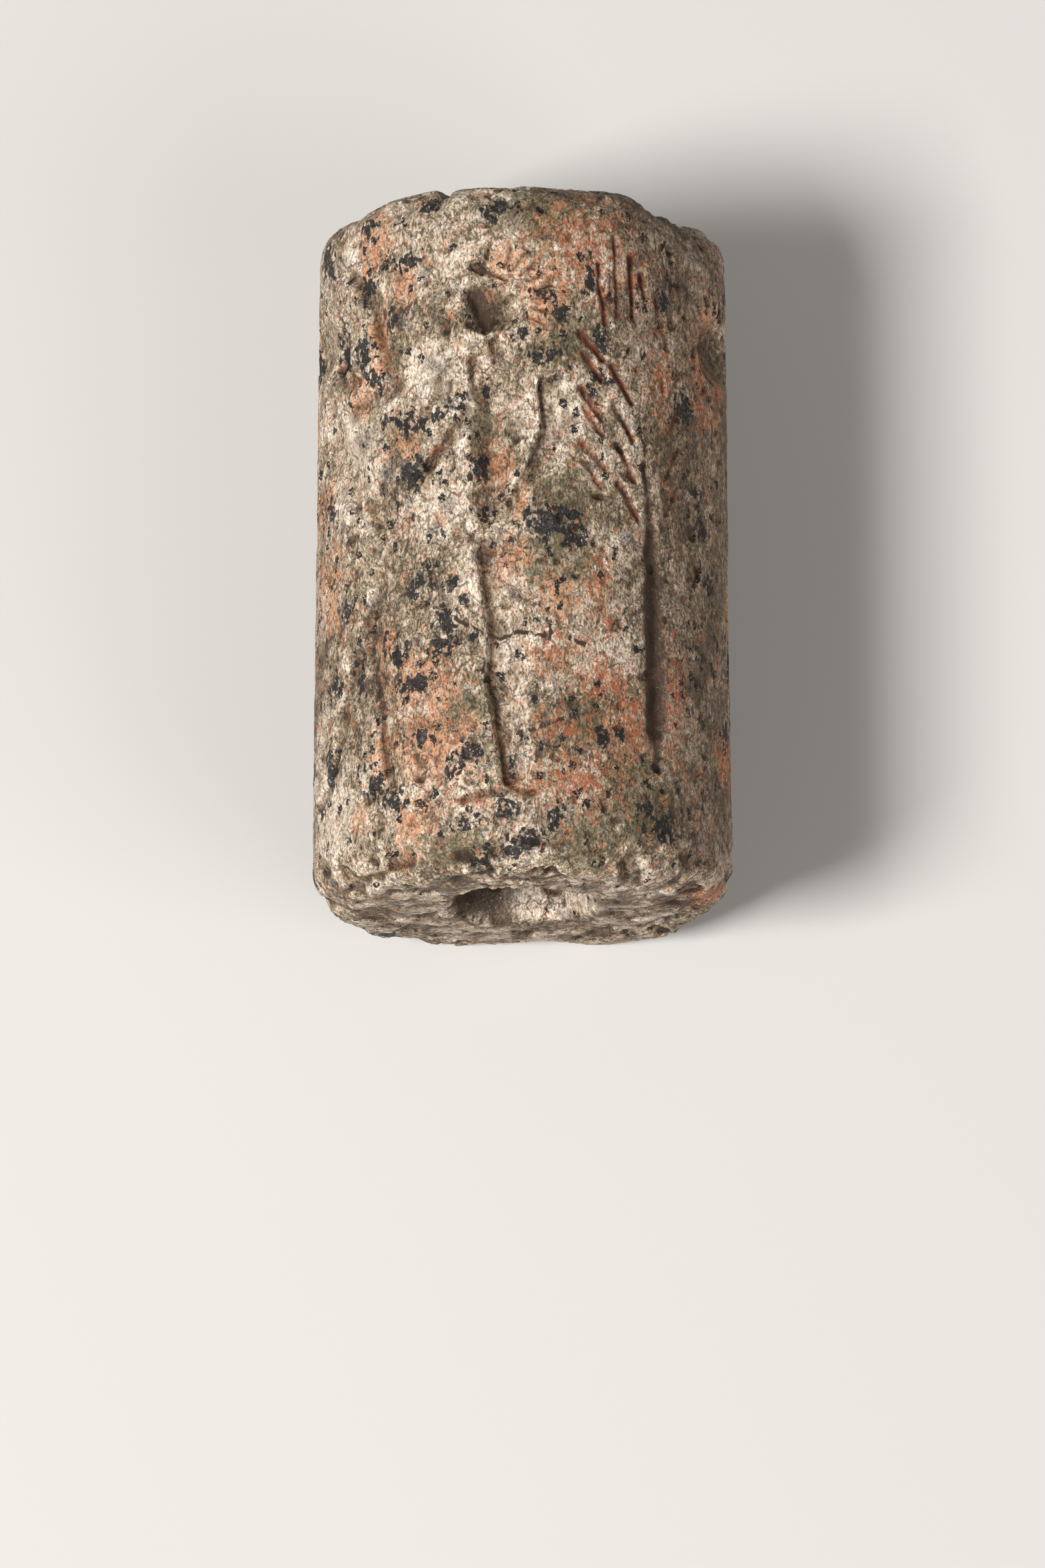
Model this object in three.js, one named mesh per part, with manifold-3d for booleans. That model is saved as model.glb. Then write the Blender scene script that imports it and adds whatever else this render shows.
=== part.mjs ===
// A stone cylinder seal lying on its side: a drilled, worn cylinder of speckled rock with a scene
// cut into it all round. Sizes are millimetres, +Z is up, and the bore runs along Y. The feet of
// the scene are at the lower end, -Y, and its heads are at the upper end, +Y.
//
// A place on the seal is [around, down]: `around` is millimetres round the girth from the line that
// faces straight up, growing towards +X, and `down` is millimetres from the upper end.

import * as THREE from "three";
import { mergeVertices } from "three/addons/utils/BufferGeometryUtils.js";
import Module from "manifold-3d";

const wasm = await Module();
wasm.setup();

// Driving dimensions.
const LENGTH = 35;
const UPPER_RADIUS = 10.15;
const LOWER_RADIUS = 10.45; // the lower end is a little fatter
const EDGE_ROUND = 2.2; // wear has rounded both ends
const BORE_RADIUS = 3.05;
const MOUTH_RADIUS = 3.9; // the cord has flared both ends of the bore
const MOUTH_DEPTH = 2.2;
const END_FLAT = 2.6; // width of the flat ring round each mouth
const AXIS_HEIGHT = 9.9; // less than the radius, which leaves a flat spot to lie on

// How finely the solid is faceted.
const COLUMNS = 94;
const SIDE_ROWS = 36;
const EDGE_ROWS = 3;
const MOUTH_ROWS = 2;

const STONE_COLOUR = 0x94806c;
const STONE_ROUGHNESS = 0.82;

const MEAN_RADIUS = (UPPER_RADIUS + LOWER_RADIUS) / 2;
const GIRTH = 2 * Math.PI * MEAN_RADIUS;
const HALF_LENGTH = LENGTH / 2;

// Where each figure and each ear of grain stands, round the girth.
const FRONT_STANDING = -0.9;
const FRONT_STOOPING = -6.2;
const BACK_STANDING = 30.9;
const BACK_STOOPING = 22.6;
const FRONT_EAR = 7.0;
const BACK_EAR = -24.7;
const STALK_FOOT = 29.7;

// A cut is a round-bottomed hollow from one place to another, with a half width at each end.
function cut(from, to, halfWidths, depth) {
  return { from, to, halfWidths, depth };
}

// A limb is one cut after another through its joints.
function limb(joints, halfWidths, depth) {
  return joints
    .slice(1)
    .map((joint, i) =>
      cut(joints[i], joint, halfWidths.slice(i, i + 2), depth),
    );
}

// Stands facing the stooping figure, with one arm out to it and the other behind.
function frontStandingFigure(line) {
  const back = [
    [line + 2.2, 9.9],
    [line + 2.6, 12.6],
    [line + 1.1, 15.2],
  ];
  const out = [
    [line - 1.6, 10.9],
    [line - 3.5, 14.0],
  ];
  const legs = [
    [line + 0.1, 16.3],
    [line + 0.2, 21.6],
    [line + 0.4, 29.6],
  ];
  return [
    cut([line - 0.5, 6.1], [line - 0.2, 6.4], [1.6, 1.8], 1.0), // head
    cut([line - 0.2, 7.6], [line - 0.3, 9.2], [0.6, 0.6], 0.5), // neck
    cut([line - 0.1, 10.8], [line - 0.1, 14.2], [2.1, 1.5], 0.9), // trunk
    ...limb(back, [0.7, 0.8, 0.6], 0.6),
    ...limb(out, [0.6, 0.6], 0.5),
    ...limb(legs, [1.5, 1.4, 0.8], 0.85),
    cut([line + 0.4, 30.2], [line - 1.6, 30.8], [0.6, 0.6], 0.5), // foot
  ];
}

// Stoops away with one arm up and the other hanging.
function frontStoopingFigure(line) {
  const raised = [
    [line - 3.7, 10.9],
    [line - 0.5, 10.1],
    [line - 1.9, 5.0],
    [line - 3.6, 3.9],
  ];
  const hanging = [
    [line - 7.9, 11.9],
    [line - 9.6, 15.8],
    [line - 11.4, 19.8],
    [line - 11.8, 21.6],
  ];
  return [
    cut([line, 18.0], [line - 3.6, 14.2], [1.5, 1.6], 0.85), // loins and waist
    cut([line - 4.2, 13.4], [line - 5.6, 12.2], [1.9, 1.8], 0.9), // chest
    cut([line - 7.3, 7.0], [line - 7.8, 7.1], [2.2, 2.1], 1.0), // head
    ...limb(raised, [0.7, 0.7, 0.6, 0.7], 0.6),
    ...limb(hanging, [0.7, 0.7, 0.6, 0.7], 0.55),
    cut([line - 0.3, 19.0], [line - 2.1, 22.6], [1.5, 1.1], 0.8), // thigh
    cut([line - 1.9, 23.4], [line - 0.4, 28.8], [0.9, 0.7], 0.65), // near shin
    cut([line - 3.0, 24.0], [line - 5.2, 28.6], [0.9, 0.7], 0.6), // far shin
    cut([line - 5.4, 29.4], [line - 7.6, 30.2], [0.6, 0.6], 0.5), // far foot
  ];
}

// Stands facing the other stooping figure with both arms out to it.
function backStandingFigure(line) {
  const upperArm = [
    [line - 1.4, 10.9],
    [line - 3.4, 12.4],
    [line - 5.4, 12.4],
  ];
  const lowerArm = [
    [line + 1.6, 15.0],
    [line + 0.2, 16.6],
    [line - 3.6, 16.6],
  ];
  return [
    cut([line - 1.5, 7.2], [line - 1.5, 7.5], [1.5, 1.4], 1.0), // head
    cut([line + 0.3, 5.9], [line + 0.5, 6.3], [1.5, 1.4], 0.7), // bound hair
    cut([line - 0.5, 8.8], [line - 0.2, 10.4], [0.6, 0.6], 0.45), // neck
    cut([line, 11.9], [line, 14.4], [2.1, 1.7], 0.9), // trunk
    ...limb(upperArm, [0.6, 0.6, 0.6], 0.5),
    ...limb(lowerArm, [0.6, 0.6, 0.6], 0.5),
    cut([line - 0.5, 18.0], [line - 0.5, 20.2], [1.5, 1.4], 0.8), // thigh
    cut([line - 0.3, 21.6], [line + 0.1, 28.6], [0.9, 0.7], 0.65), // shin
  ];
}

// Stoops away, its hair bound behind, with one arm up and the other hanging.
function backStoopingFigure(line) {
  const raised = [
    [line - 4.2, 10.7],
    [line - 0.2, 9.3],
    [line + 0.9, 4.6],
    [line + 1.1, 2.9],
  ];
  const hanging = [
    [line - 6.7, 13.0],
    [line - 6.5, 17.4],
    [line - 6.8, 21.2],
    [line - 8.1, 23.4],
  ];
  return [
    cut([line, 15.9], [line - 2.0, 13.2], [1.5, 1.6], 0.85), // loins and waist
    cut([line - 2.6, 12.8], [line - 4.8, 12.0], [1.7, 1.9], 0.9), // chest
    cut([line - 9.8, 7.4], [line - 10.2, 7.4], [2.2, 2.1], 1.0), // head
    cut([line - 7.6, 7.6], [line - 7.8, 7.7], [1.3, 1.2], 0.7), // bound hair
    ...limb(raised, [0.7, 0.6, 0.6, 0.6], 0.55),
    ...limb(hanging, [0.7, 0.7, 0.6, 0.6], 0.55),
    cut([line - 0.4, 17.8], [line - 0.5, 20.4], [1.5, 1.4], 0.85), // thigh
    cut([line - 0.1, 21.8], [line - 0.7, 28.2], [1.1, 0.7], 0.7), // shin
    cut([line - 0.9, 29.2], [line + 1.7, 29.7], [0.6, 0.6], 0.5), // foot
  ];
}

// An ear of grain: its stalk, and a slanting row of grains on the left of it.
function earOfGrain(line, top) {
  const grains = Array.from({ length: 6 }, (_, i) => {
    const down = top + 1.9 * i;
    return cut([line - 2.2, down], [line - 0.9, down + 1.3], [0.6, 0.6], 0.4);
  });
  return [cut([line, top], [line, STALK_FOOT], [0.6, 0.65], 0.55), ...grains];
}

const CUTS = [
  ...frontStandingFigure(FRONT_STANDING),
  ...frontStoopingFigure(FRONT_STOOPING),
  ...backStandingFigure(BACK_STANDING),
  ...backStoopingFigure(BACK_STOOPING),
  ...earOfGrain(FRONT_EAR, 8.8),
  ...earOfGrain(BACK_EAR, 6.8),
];

// A chip is a shallow oval scoop: its middle, half its size round and down, and its depth.
const CHIPS = [
  { at: [31.5, 31.4], half: [3.6, 3.4], depth: 1.5 }, // feet of the back standing figure
  { at: [31.0, 1.2], half: [1.1, 2.8], depth: 0.9 }, // notch over its head
  { at: [11.0, 0.8], half: [4.8, 2.5], depth: 0.68 }, // upper edge, above the front ear
  { at: [-4.6, 0.2], half: [0.7, 1.5], depth: 0.5 }, // nick in the upper edge
  { at: [-11.6, 0.5], half: [3.0, 1.8], depth: 0.32 }, // upper edge, front left
  { at: [-11.5, 7.6], half: [0.8, 1.9], depth: 0.5 }, // pit by the front stooping figure's head
  { at: [20.6, 34.9], half: [3.8, 1.9], depth: 0.6 }, // lower edge, under the back pair
  { at: [1.0, 35.2], half: [8.0, 1.0], depth: 0.22 }, // lower edge, under the front pair
];

// The seal's radius at a distance from its upper end, before any cutting.
function sideRadius(down) {
  return THREE.MathUtils.lerp(UPPER_RADIUS, LOWER_RADIUS, down / LENGTH);
}

// Millimetres round the girth from one place to another, the short way.
function shortWay(from, to) {
  const way = to - from;
  return way - GIRTH * Math.round(way / GIRTH);
}

// How deep one cut is at a place: a parabola across its width.
function cutDepth(around, down, { from, to, halfWidths, depth }) {
  const run = [shortWay(from[0], to[0]), to[1] - from[1]];
  const here = [shortWay(from[0], around), down - from[1]];
  const along = (here[0] * run[0] + here[1] * run[1]) / Math.hypot(...run) ** 2;
  const share = THREE.MathUtils.clamp(along, 0, 1);
  const away = Math.hypot(here[0] - share * run[0], here[1] - share * run[1]);
  const across = away / THREE.MathUtils.lerp(...halfWidths, share);
  return depth * Math.max(0, 1 - across ** 2);
}

function chipDepth(around, down, { at, half, depth }) {
  const sideways = shortWay(at[0], around) / half[0];
  const across = Math.hypot(sideways, (down - at[1]) / half[1]);
  return depth * Math.max(0, 1 - across ** 2);
}

// How far the surface is cut back at a place.
function depthAt(around, down) {
  return Math.max(
    ...CUTS.map((one) => cutDepth(around, down, one)),
    ...CHIPS.map((one) => chipDepth(around, down, one)),
  );
}

// One end's flared mouth and flat ring, from the bore outwards. `end` is 1 at the upper end and -1
// at the lower.
function mouthAndFlat(end) {
  const mouth = Array.from({ length: MOUTH_ROWS + 1 }, (_, i) => {
    const share = i / MOUTH_ROWS;
    return {
      radius: THREE.MathUtils.lerp(BORE_RADIUS, MOUTH_RADIUS, share ** 2),
      y: end * (HALF_LENGTH - MOUTH_DEPTH * (1 - share)),
    };
  });
  return [...mouth, { radius: MOUTH_RADIUS + END_FLAT, y: end * HALF_LENGTH }];
}

// The rounded edge from the flat ring to the side. These points have an outward normal and a place
// on the seal, because cuts reach them.
function roundedEdge(end) {
  const centre = sideRadius(end > 0 ? 0 : LENGTH) - EDGE_ROUND;
  return Array.from({ length: EDGE_ROWS }, (_, i) => {
    const share = i / EDGE_ROWS;
    const turn = (share * Math.PI) / 2;
    const inset = share * EDGE_ROUND;
    return {
      radius: centre + EDGE_ROUND * Math.sin(turn),
      y: end * (HALF_LENGTH - EDGE_ROUND * (1 - Math.cos(turn))),
      normal: [Math.sin(turn), end * Math.cos(turn)],
      down: end > 0 ? inset : LENGTH - inset,
    };
  });
}

// The side, from the lower end to the upper.
function side() {
  return Array.from({ length: SIDE_ROWS + 1 }, (_, i) => {
    const share = i / SIDE_ROWS;
    const down = THREE.MathUtils.lerp(LENGTH - EDGE_ROUND, EDGE_ROUND, share);
    return {
      radius: sideRadius(down),
      y: HALF_LENGTH - down,
      normal: [1, 0],
      down,
    };
  });
}

// The section on one side of the axis, once round from the bore's lower mouth back to it.
function section() {
  return [
    ...mouthAndFlat(-1),
    ...roundedEdge(-1),
    ...side(),
    ...roundedEdge(1).reverse(),
    ...mouthAndFlat(1).reverse(),
  ];
}

// The section turned about the axis, with each point that cuts reach moved in along its normal.
function carvedStone() {
  const ring = section();
  ring.push(ring[0]);
  const outline = ring.map(({ radius, y }) => new THREE.Vector2(radius, y));
  const stone = new THREE.LatheGeometry(outline, COLUMNS);
  const position = stone.getAttribute("position");
  for (let i = 0; i < position.count; i++) {
    const { radius, y, normal, down } = ring[i % ring.length];
    if (!normal) continue;
    const column = Math.floor(i / ring.length) % COLUMNS;
    const turn = (column / COLUMNS) * 2 * Math.PI;
    const depth = depthAt(turn * MEAN_RADIUS, down);
    const reach = radius - normal[0] * depth;
    position.setXYZ(
      i,
      reach * Math.sin(turn),
      y - normal[1] * depth,
      reach * Math.cos(turn),
    );
  }
  return stone.translate(0, 0, AXIS_HEIGHT);
}

// Everything below the surface that the seal lies on.
function underTheFlat() {
  const slab = new THREE.BoxGeometry(LENGTH, 2 * LENGTH, LENGTH);
  return slab.translate(0, 0, -HALF_LENGTH);
}

function solidOf(geometry) {
  const bare = geometry.clone();
  bare.deleteAttribute("normal");
  bare.deleteAttribute("uv");
  const merged = mergeVertices(bare, 1e-4);
  return new wasm.Manifold(
    new wasm.Mesh({
      numProp: 3,
      vertProperties: merged.attributes.position.array,
      triVerts: new Uint32Array(merged.index.array),
    }),
  );
}

function geometryOf(solid) {
  const { vertProperties, triVerts } = solid.getMesh();
  const position = new THREE.BufferAttribute(vertProperties, 3);
  const geometry = new THREE.BufferGeometry();
  geometry.setAttribute("position", position);
  geometry.setIndex(new THREE.BufferAttribute(triVerts, 1));
  geometry.computeVertexNormals();
  return geometry;
}

// The whole seal is one piece of stone.
function sealStone() {
  const lying = solidOf(carvedStone()).subtract(solidOf(underTheFlat()));
  const stone = new THREE.MeshStandardMaterial({
    color: STONE_COLOUR,
    roughness: STONE_ROUGHNESS,
    metalness: 0,
  });
  const mesh = new THREE.Mesh(geometryOf(lying), stone);
  mesh.name = "seal_stone";
  return mesh;
}

const part = new THREE.Group();
part.add(sealStone());

export default part;
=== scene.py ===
"""A worn cylinder seal of speckled stone, lying on its side on its flat spot.

The seal is one drilled and carved stone. Its lengths here are millimetres until they become a
mesh, which is in metres. A place on the seal is (around, down): millimetres round the girth from
the line that faces straight up, growing towards +X, and millimetres from the upper end, at +Y.
The feet of the carved scene are at the lower end, -Y, and its heads at the upper end.
"""

import logging
import math
from abc import ABC, abstractmethod
from dataclasses import dataclass, field, replace
from enum import Enum

import bpy
import numpy as np
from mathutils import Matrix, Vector


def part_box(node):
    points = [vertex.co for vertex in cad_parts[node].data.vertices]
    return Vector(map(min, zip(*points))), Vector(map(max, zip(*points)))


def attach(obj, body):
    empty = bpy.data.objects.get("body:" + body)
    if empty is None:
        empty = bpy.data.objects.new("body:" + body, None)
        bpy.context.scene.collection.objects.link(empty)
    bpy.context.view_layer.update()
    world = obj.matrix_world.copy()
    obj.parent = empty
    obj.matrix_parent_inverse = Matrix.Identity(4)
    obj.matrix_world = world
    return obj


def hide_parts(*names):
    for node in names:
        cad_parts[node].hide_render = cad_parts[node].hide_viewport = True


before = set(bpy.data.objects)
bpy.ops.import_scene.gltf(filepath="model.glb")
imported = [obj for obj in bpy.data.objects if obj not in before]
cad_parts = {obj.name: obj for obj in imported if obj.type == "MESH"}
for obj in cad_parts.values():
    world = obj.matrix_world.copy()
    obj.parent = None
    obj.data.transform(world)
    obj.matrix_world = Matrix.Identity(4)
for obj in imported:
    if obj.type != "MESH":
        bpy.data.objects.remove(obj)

log = logging.getLogger("seal")

MM = 0.001
NODE = "seal_stone"
BODY = "root"

Array = np.ndarray
Socket = bpy.types.NodeSocket
Place = tuple[float, float]
Widths = tuple[float, float]
Tint = tuple[float, float, float, float]


def tint(red: int, green: int, blue: int) -> Tint:
    """Turns a display colour into the linear one that a shader takes.

    Args:
        red: Red, 0 to 255.
        green: Green, 0 to 255.
        blue: Blue, 0 to 255.

    Returns:
        The linear colour with full alpha.
    """

    def linear(value: int) -> float:
        """Undoes the display curve for one channel."""
        share = value / 255
        return share / 12.92 if share <= 0.04045 else ((share + 0.055) / 1.055) ** 2.4

    return linear(red), linear(green), linear(blue), 1.0


def smooth(values: Array, low: float, high: float) -> Array:
    """Eases the values from 0 at low to 1 at high."""
    share = np.clip((values - low) / (high - low), 0.0, 1.0)
    return share * share * (3.0 - 2.0 * share)


def blended(first: Array, second: Array) -> Array:
    """Takes the deeper of two hollows, running them together where they meet.

    Args:
        first: Depths of one, in mm.
        second: Depths of the other.

    Returns:
        The joined depths.
    """
    widest, spread = 0.3, 1.2
    soft = np.minimum(widest, spread * np.minimum(first, second)) + 1e-9
    meet = np.maximum(soft - np.abs(first - second), 0.0) / soft
    return np.maximum(first, second) + meet * meet * soft / 4.0


class Grain:
    """Seeded lattice noise in space, for everything about the stone that isn't cut by hand.

    Attributes:
        CELLS: Cells along each side of the lattice, before it repeats.
        MIDDLE: Where in the lattice the seal's own origin lies, in cells.
        SHIFT: How far each finer layer is moved, in mm.
    """

    CELLS = 64
    MIDDLE = 100.0
    SHIFT = 17.3

    def __init__(self, seed: int) -> None:
        """Fills the lattice with the pattern that the seed picks."""
        cube = (self.CELLS, self.CELLS, self.CELLS)
        self.lattice = np.random.default_rng(seed).uniform(-1.0, 1.0, cube).astype(np.float32)

    def at(self, points: Array, size: float) -> Array:
        """Reads the noise.

        Args:
            points: Places in space, in mm, with x, y and z in the last axis.
            size: Size of one lump, in mm.

        Returns:
            A number from -1 to 1 for each point.
        """
        scaled = points / size + self.MIDDLE
        corner = np.floor(scaled).astype(np.int64)
        share = scaled - corner
        x, y, z = np.moveaxis(share * share * (3.0 - 2.0 * share), -1, 0)
        x0, y0, z0 = np.moveaxis(corner % self.CELLS, -1, 0)
        x1, y1, z1 = np.moveaxis((corner + 1) % self.CELLS, -1, 0)
        lattice = self.lattice

        def row(j: Array, k: Array) -> Array:
            """Blends along x."""
            return lattice[x0, j, k] * (1.0 - x) + lattice[x1, j, k] * x

        near = row(y0, z0) * (1.0 - y) + row(y1, z0) * y
        far = row(y0, z1) * (1.0 - y) + row(y1, z1) * y
        return near * (1.0 - z) + far * z

    def layered(self, points: Array, size: float, layers: int) -> Array:
        """Adds up finer and finer noise.

        Args:
            points: Places in space, in mm.
            size: Size of the largest lumps, in mm.
            layers: How many halvings of the size to add.

        Returns:
            A number mostly from -1 to 1 for each point.
        """
        total = np.zeros(points.shape[:-1])
        for layer in range(layers):
            total += self.at(points + self.SHIFT * layer, size / 2**layer) / 2**layer
        return total / (2.0 - 2.0 ** (1 - layers))


@dataclass(frozen=True)
class Section:
    """The seal's section on one side of its axis, as rows of points in a closed loop.

    Attributes:
        radius: Distance of each row from the axis.
        along: Each row's place along Y, from the middle of the seal.
        down: Distance from the upper end, carried on past both ends over the end faces.
        carved: How fully the carver's cuts and the knocks reach each row, 0 to 1.
        rough: How much rougher than the side each row is.
    """

    radius: Array
    along: Array
    down: Array
    carved: Array
    rough: Array

    def normals(self) -> tuple[Array, Array]:
        """Works out which way each row faces.

        Returns:
            The outward direction's parts away from the axis and along Y.
        """
        out = np.roll(self.along, -1) - np.roll(self.along, 1)
        up = np.roll(self.radius, 1) - np.roll(self.radius, -1)
        length = np.hypot(out, up)
        return out / length, up / length


@dataclass(frozen=True)
class SealForm:
    """The plain turned form: a drilled cylinder with worn edges and a flat spot to lie on.

    Attributes:
        length: Length along Y.
        lower_radius: Radius at the lower end.
        axis_height: Height of the axis over the surface it lies on.
        taper: How much thinner the upper end is, in radius.
        edge_round: Radius of the worn edges.
        bore_radius: Radius of the bore.
        mouth_radius: Radius of the bore where it opens in the end faces.
        mouth_depth: How far in the mouth's flare starts.
        mouth_worn: How far up the cord has worn the lower mouth.
        rim_kept: The share of the lower edge's corner that is left towards the underside.
        columns: Points round the girth.
        row_step: Distance between rows on the side.
        BORE_STRIDE: How much wider apart the rows in the bore are.
        LIP_STRIDE: The same for the rows of the mouth.
        FACE_STRIDE: The same for the rows of the end faces.
        ROUGH_BORE: How rough the bore is, against 1 for the end faces.
        ROUGH_LIP: How rough the mouth is.
        FADE: How far in over the end faces the cuts fade out.
        UNCUT: A place down the seal that no cut reaches, for rows in the bore.
        WORN_RING: How far inside the side the wear of the mouth ends.
        SQUEEZED: Radius on the end faces from which the flat spot squeezes them.
    """

    length: float
    lower_radius: float
    axis_height: float
    taper: float = 0.28
    edge_round: float = 2.2
    bore_radius: float = 3.05
    mouth_radius: float = 3.75
    mouth_depth: float = 2.4
    mouth_worn: float = 2.5
    rim_kept: float = 0.85
    columns: int = 720
    row_step: float = 0.095

    BORE_STRIDE = 9
    LIP_STRIDE = 1.5
    FACE_STRIDE = 1.6
    ROUGH_BORE = 0.6
    ROUGH_LIP = 0.8
    FADE = 2.0
    UNCUT = -9.0
    WORN_RING = 1.6
    SQUEEZED = 6.0

    @classmethod
    def in_frame(cls, node: str, coarse: bool) -> "SealForm":
        """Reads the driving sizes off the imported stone.

        Args:
            node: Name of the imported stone.

        Returns:
            The form that fills the same space.
        """
        low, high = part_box(node)
        radius = (high.x - low.x) / 2 / MM
        sizes = ((high.y - low.y) / MM, radius, high.z / MM - radius)
        return cls(*sizes, columns=480, row_step=0.15) if coarse else cls(*sizes)

    @property
    def upper_radius(self) -> float:
        """Radius at the upper end."""
        return self.lower_radius - self.taper

    @property
    def mean_radius(self) -> float:
        """Radius half way along."""
        return self.lower_radius - self.taper / 2

    @property
    def girth(self) -> float:
        """Length once round the side."""
        return 2 * math.pi * self.mean_radius

    def short_way(self, start: float | Array, end: float | Array) -> Array:
        """Millimetres from start to end the short way round, negative towards the left."""
        way = np.asarray(end - start)
        return way - self.girth * np.round(way / self.girth)

    def half_section(self, end: int) -> list[Array]:
        """Lays rows from the middle of the bore out over one end to the side.

        Args:
            end: 1 for the upper end, -1 for the lower.

        Returns:
            Radius, along, down, carved and rough for each row.
        """
        half = self.length / 2
        edge = (self.upper_radius if end > 0 else self.lower_radius) - self.edge_round
        step = self.row_step
        arc = 1.6 * self.edge_round

        bore = np.arange(0.0, half - self.mouth_depth, self.BORE_STRIDE * step)
        lip = np.linspace(0.0, 1.0, round(self.mouth_depth / step / self.LIP_STRIDE))[:-1]
        face = np.arange(self.mouth_radius, edge, self.FACE_STRIDE * step)
        turn = np.linspace(0.0, math.pi / 2, round(arc / step))[:-1]

        flare = self.mouth_radius - self.bore_radius
        radius = [
            np.full_like(bore, self.bore_radius),
            self.bore_radius + flare * (1.0 - np.sqrt(1.0 - lip**2)),
            face,
            edge + self.edge_round * np.sin(turn),
        ]
        along = [
            bore,
            half - self.mouth_depth * (1.0 - lip),
            np.full_like(face, half),
            half - self.edge_round * (1.0 - np.cos(turn)),
        ]
        inset = [
            np.full_like(bore, self.UNCUT),
            np.full_like(lip, self.UNCUT),
            face - edge,
            self.edge_round * turn / (math.pi / 2),
        ]
        carved = [
            np.zeros_like(bore),
            np.zeros_like(lip),
            smooth(face, edge - self.FADE, edge),
            np.ones_like(turn),
        ]
        rough = [
            np.full_like(bore, self.ROUGH_BORE),
            np.full_like(lip, self.ROUGH_LIP),
            np.ones_like(face),
            1.0 - turn / (math.pi / 2),
        ]
        down = np.concatenate(inset)
        return [
            np.concatenate(radius),
            end * np.concatenate(along),
            down if end > 0 else self.length - down,
            np.concatenate(carved),
            np.concatenate(rough),
        ]

    def section(self) -> Section:
        """Lays the whole section: over the lower end, up the side and in over the upper end."""
        rows = math.ceil((self.length - 2 * self.edge_round) / self.row_step)
        down = np.linspace(self.length - self.edge_round, self.edge_round, rows)
        share = down / self.length
        side = [
            self.upper_radius + self.taper * share,
            self.length / 2 - down,
            down,
            np.ones(rows),
            np.zeros(rows),
        ]
        lower = self.half_section(-1)
        upper = [values[:0:-1] for values in self.half_section(1)]
        return Section(*(np.concatenate(parts) for parts in zip(lower, side, upper)))

    def mouth_wear(self, section: Section, turn: Array) -> Array:
        """Measures how far the cord has worn the lower mouth of the bore upwards.

        Args:
            section: The plain section.
            turn: Angle round the axis from straight up.

        Returns:
            Millimetres to add to each row's radius at each angle.
        """
        half = self.length / 2
        near_mouth = smooth(-section.along, half - self.mouth_depth, half)
        near_mouth *= 1.0 - smooth(section.radius, self.mouth_radius, self.lower_radius - self.WORN_RING)
        return self.mouth_worn * near_mouth[:, None] * np.maximum(np.cos(turn), 0.0) ** 2

    def proud_rim(self, section: Section, turn: Array) -> Array:
        """Measures how much less the lower edge is worn towards the underside.

        Args:
            section: The plain section.
            turn: Angle round the axis from straight up.

        Returns:
            Millimetres that the edge stands out at each row and angle.
        """
        out, up = section.normals()
        corner = self.edge_round * (1.0 / np.maximum(np.abs(out), np.abs(up)) - 1.0)
        corner *= (section.carved >= 1.0) * (section.along < 0.0)
        return self.rim_kept * corner[:, None] * smooth(-np.cos(turn), 0.1, 0.8)

    def ground_off(self, turn: Array) -> Array:
        """Millimetres that the flat spot takes off the lower end's radius at each angle."""
        downward = np.maximum(-np.cos(turn), 1e-6)
        return np.maximum(self.lower_radius - self.axis_height / downward, 0.0)


class CutShape(Enum):
    """What the cross-section of a cut looks like."""

    HOLLOW = "ground out with a round wheel or drill"
    STROKE = "a single stroke of a graver, sharp at the bottom"


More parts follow.
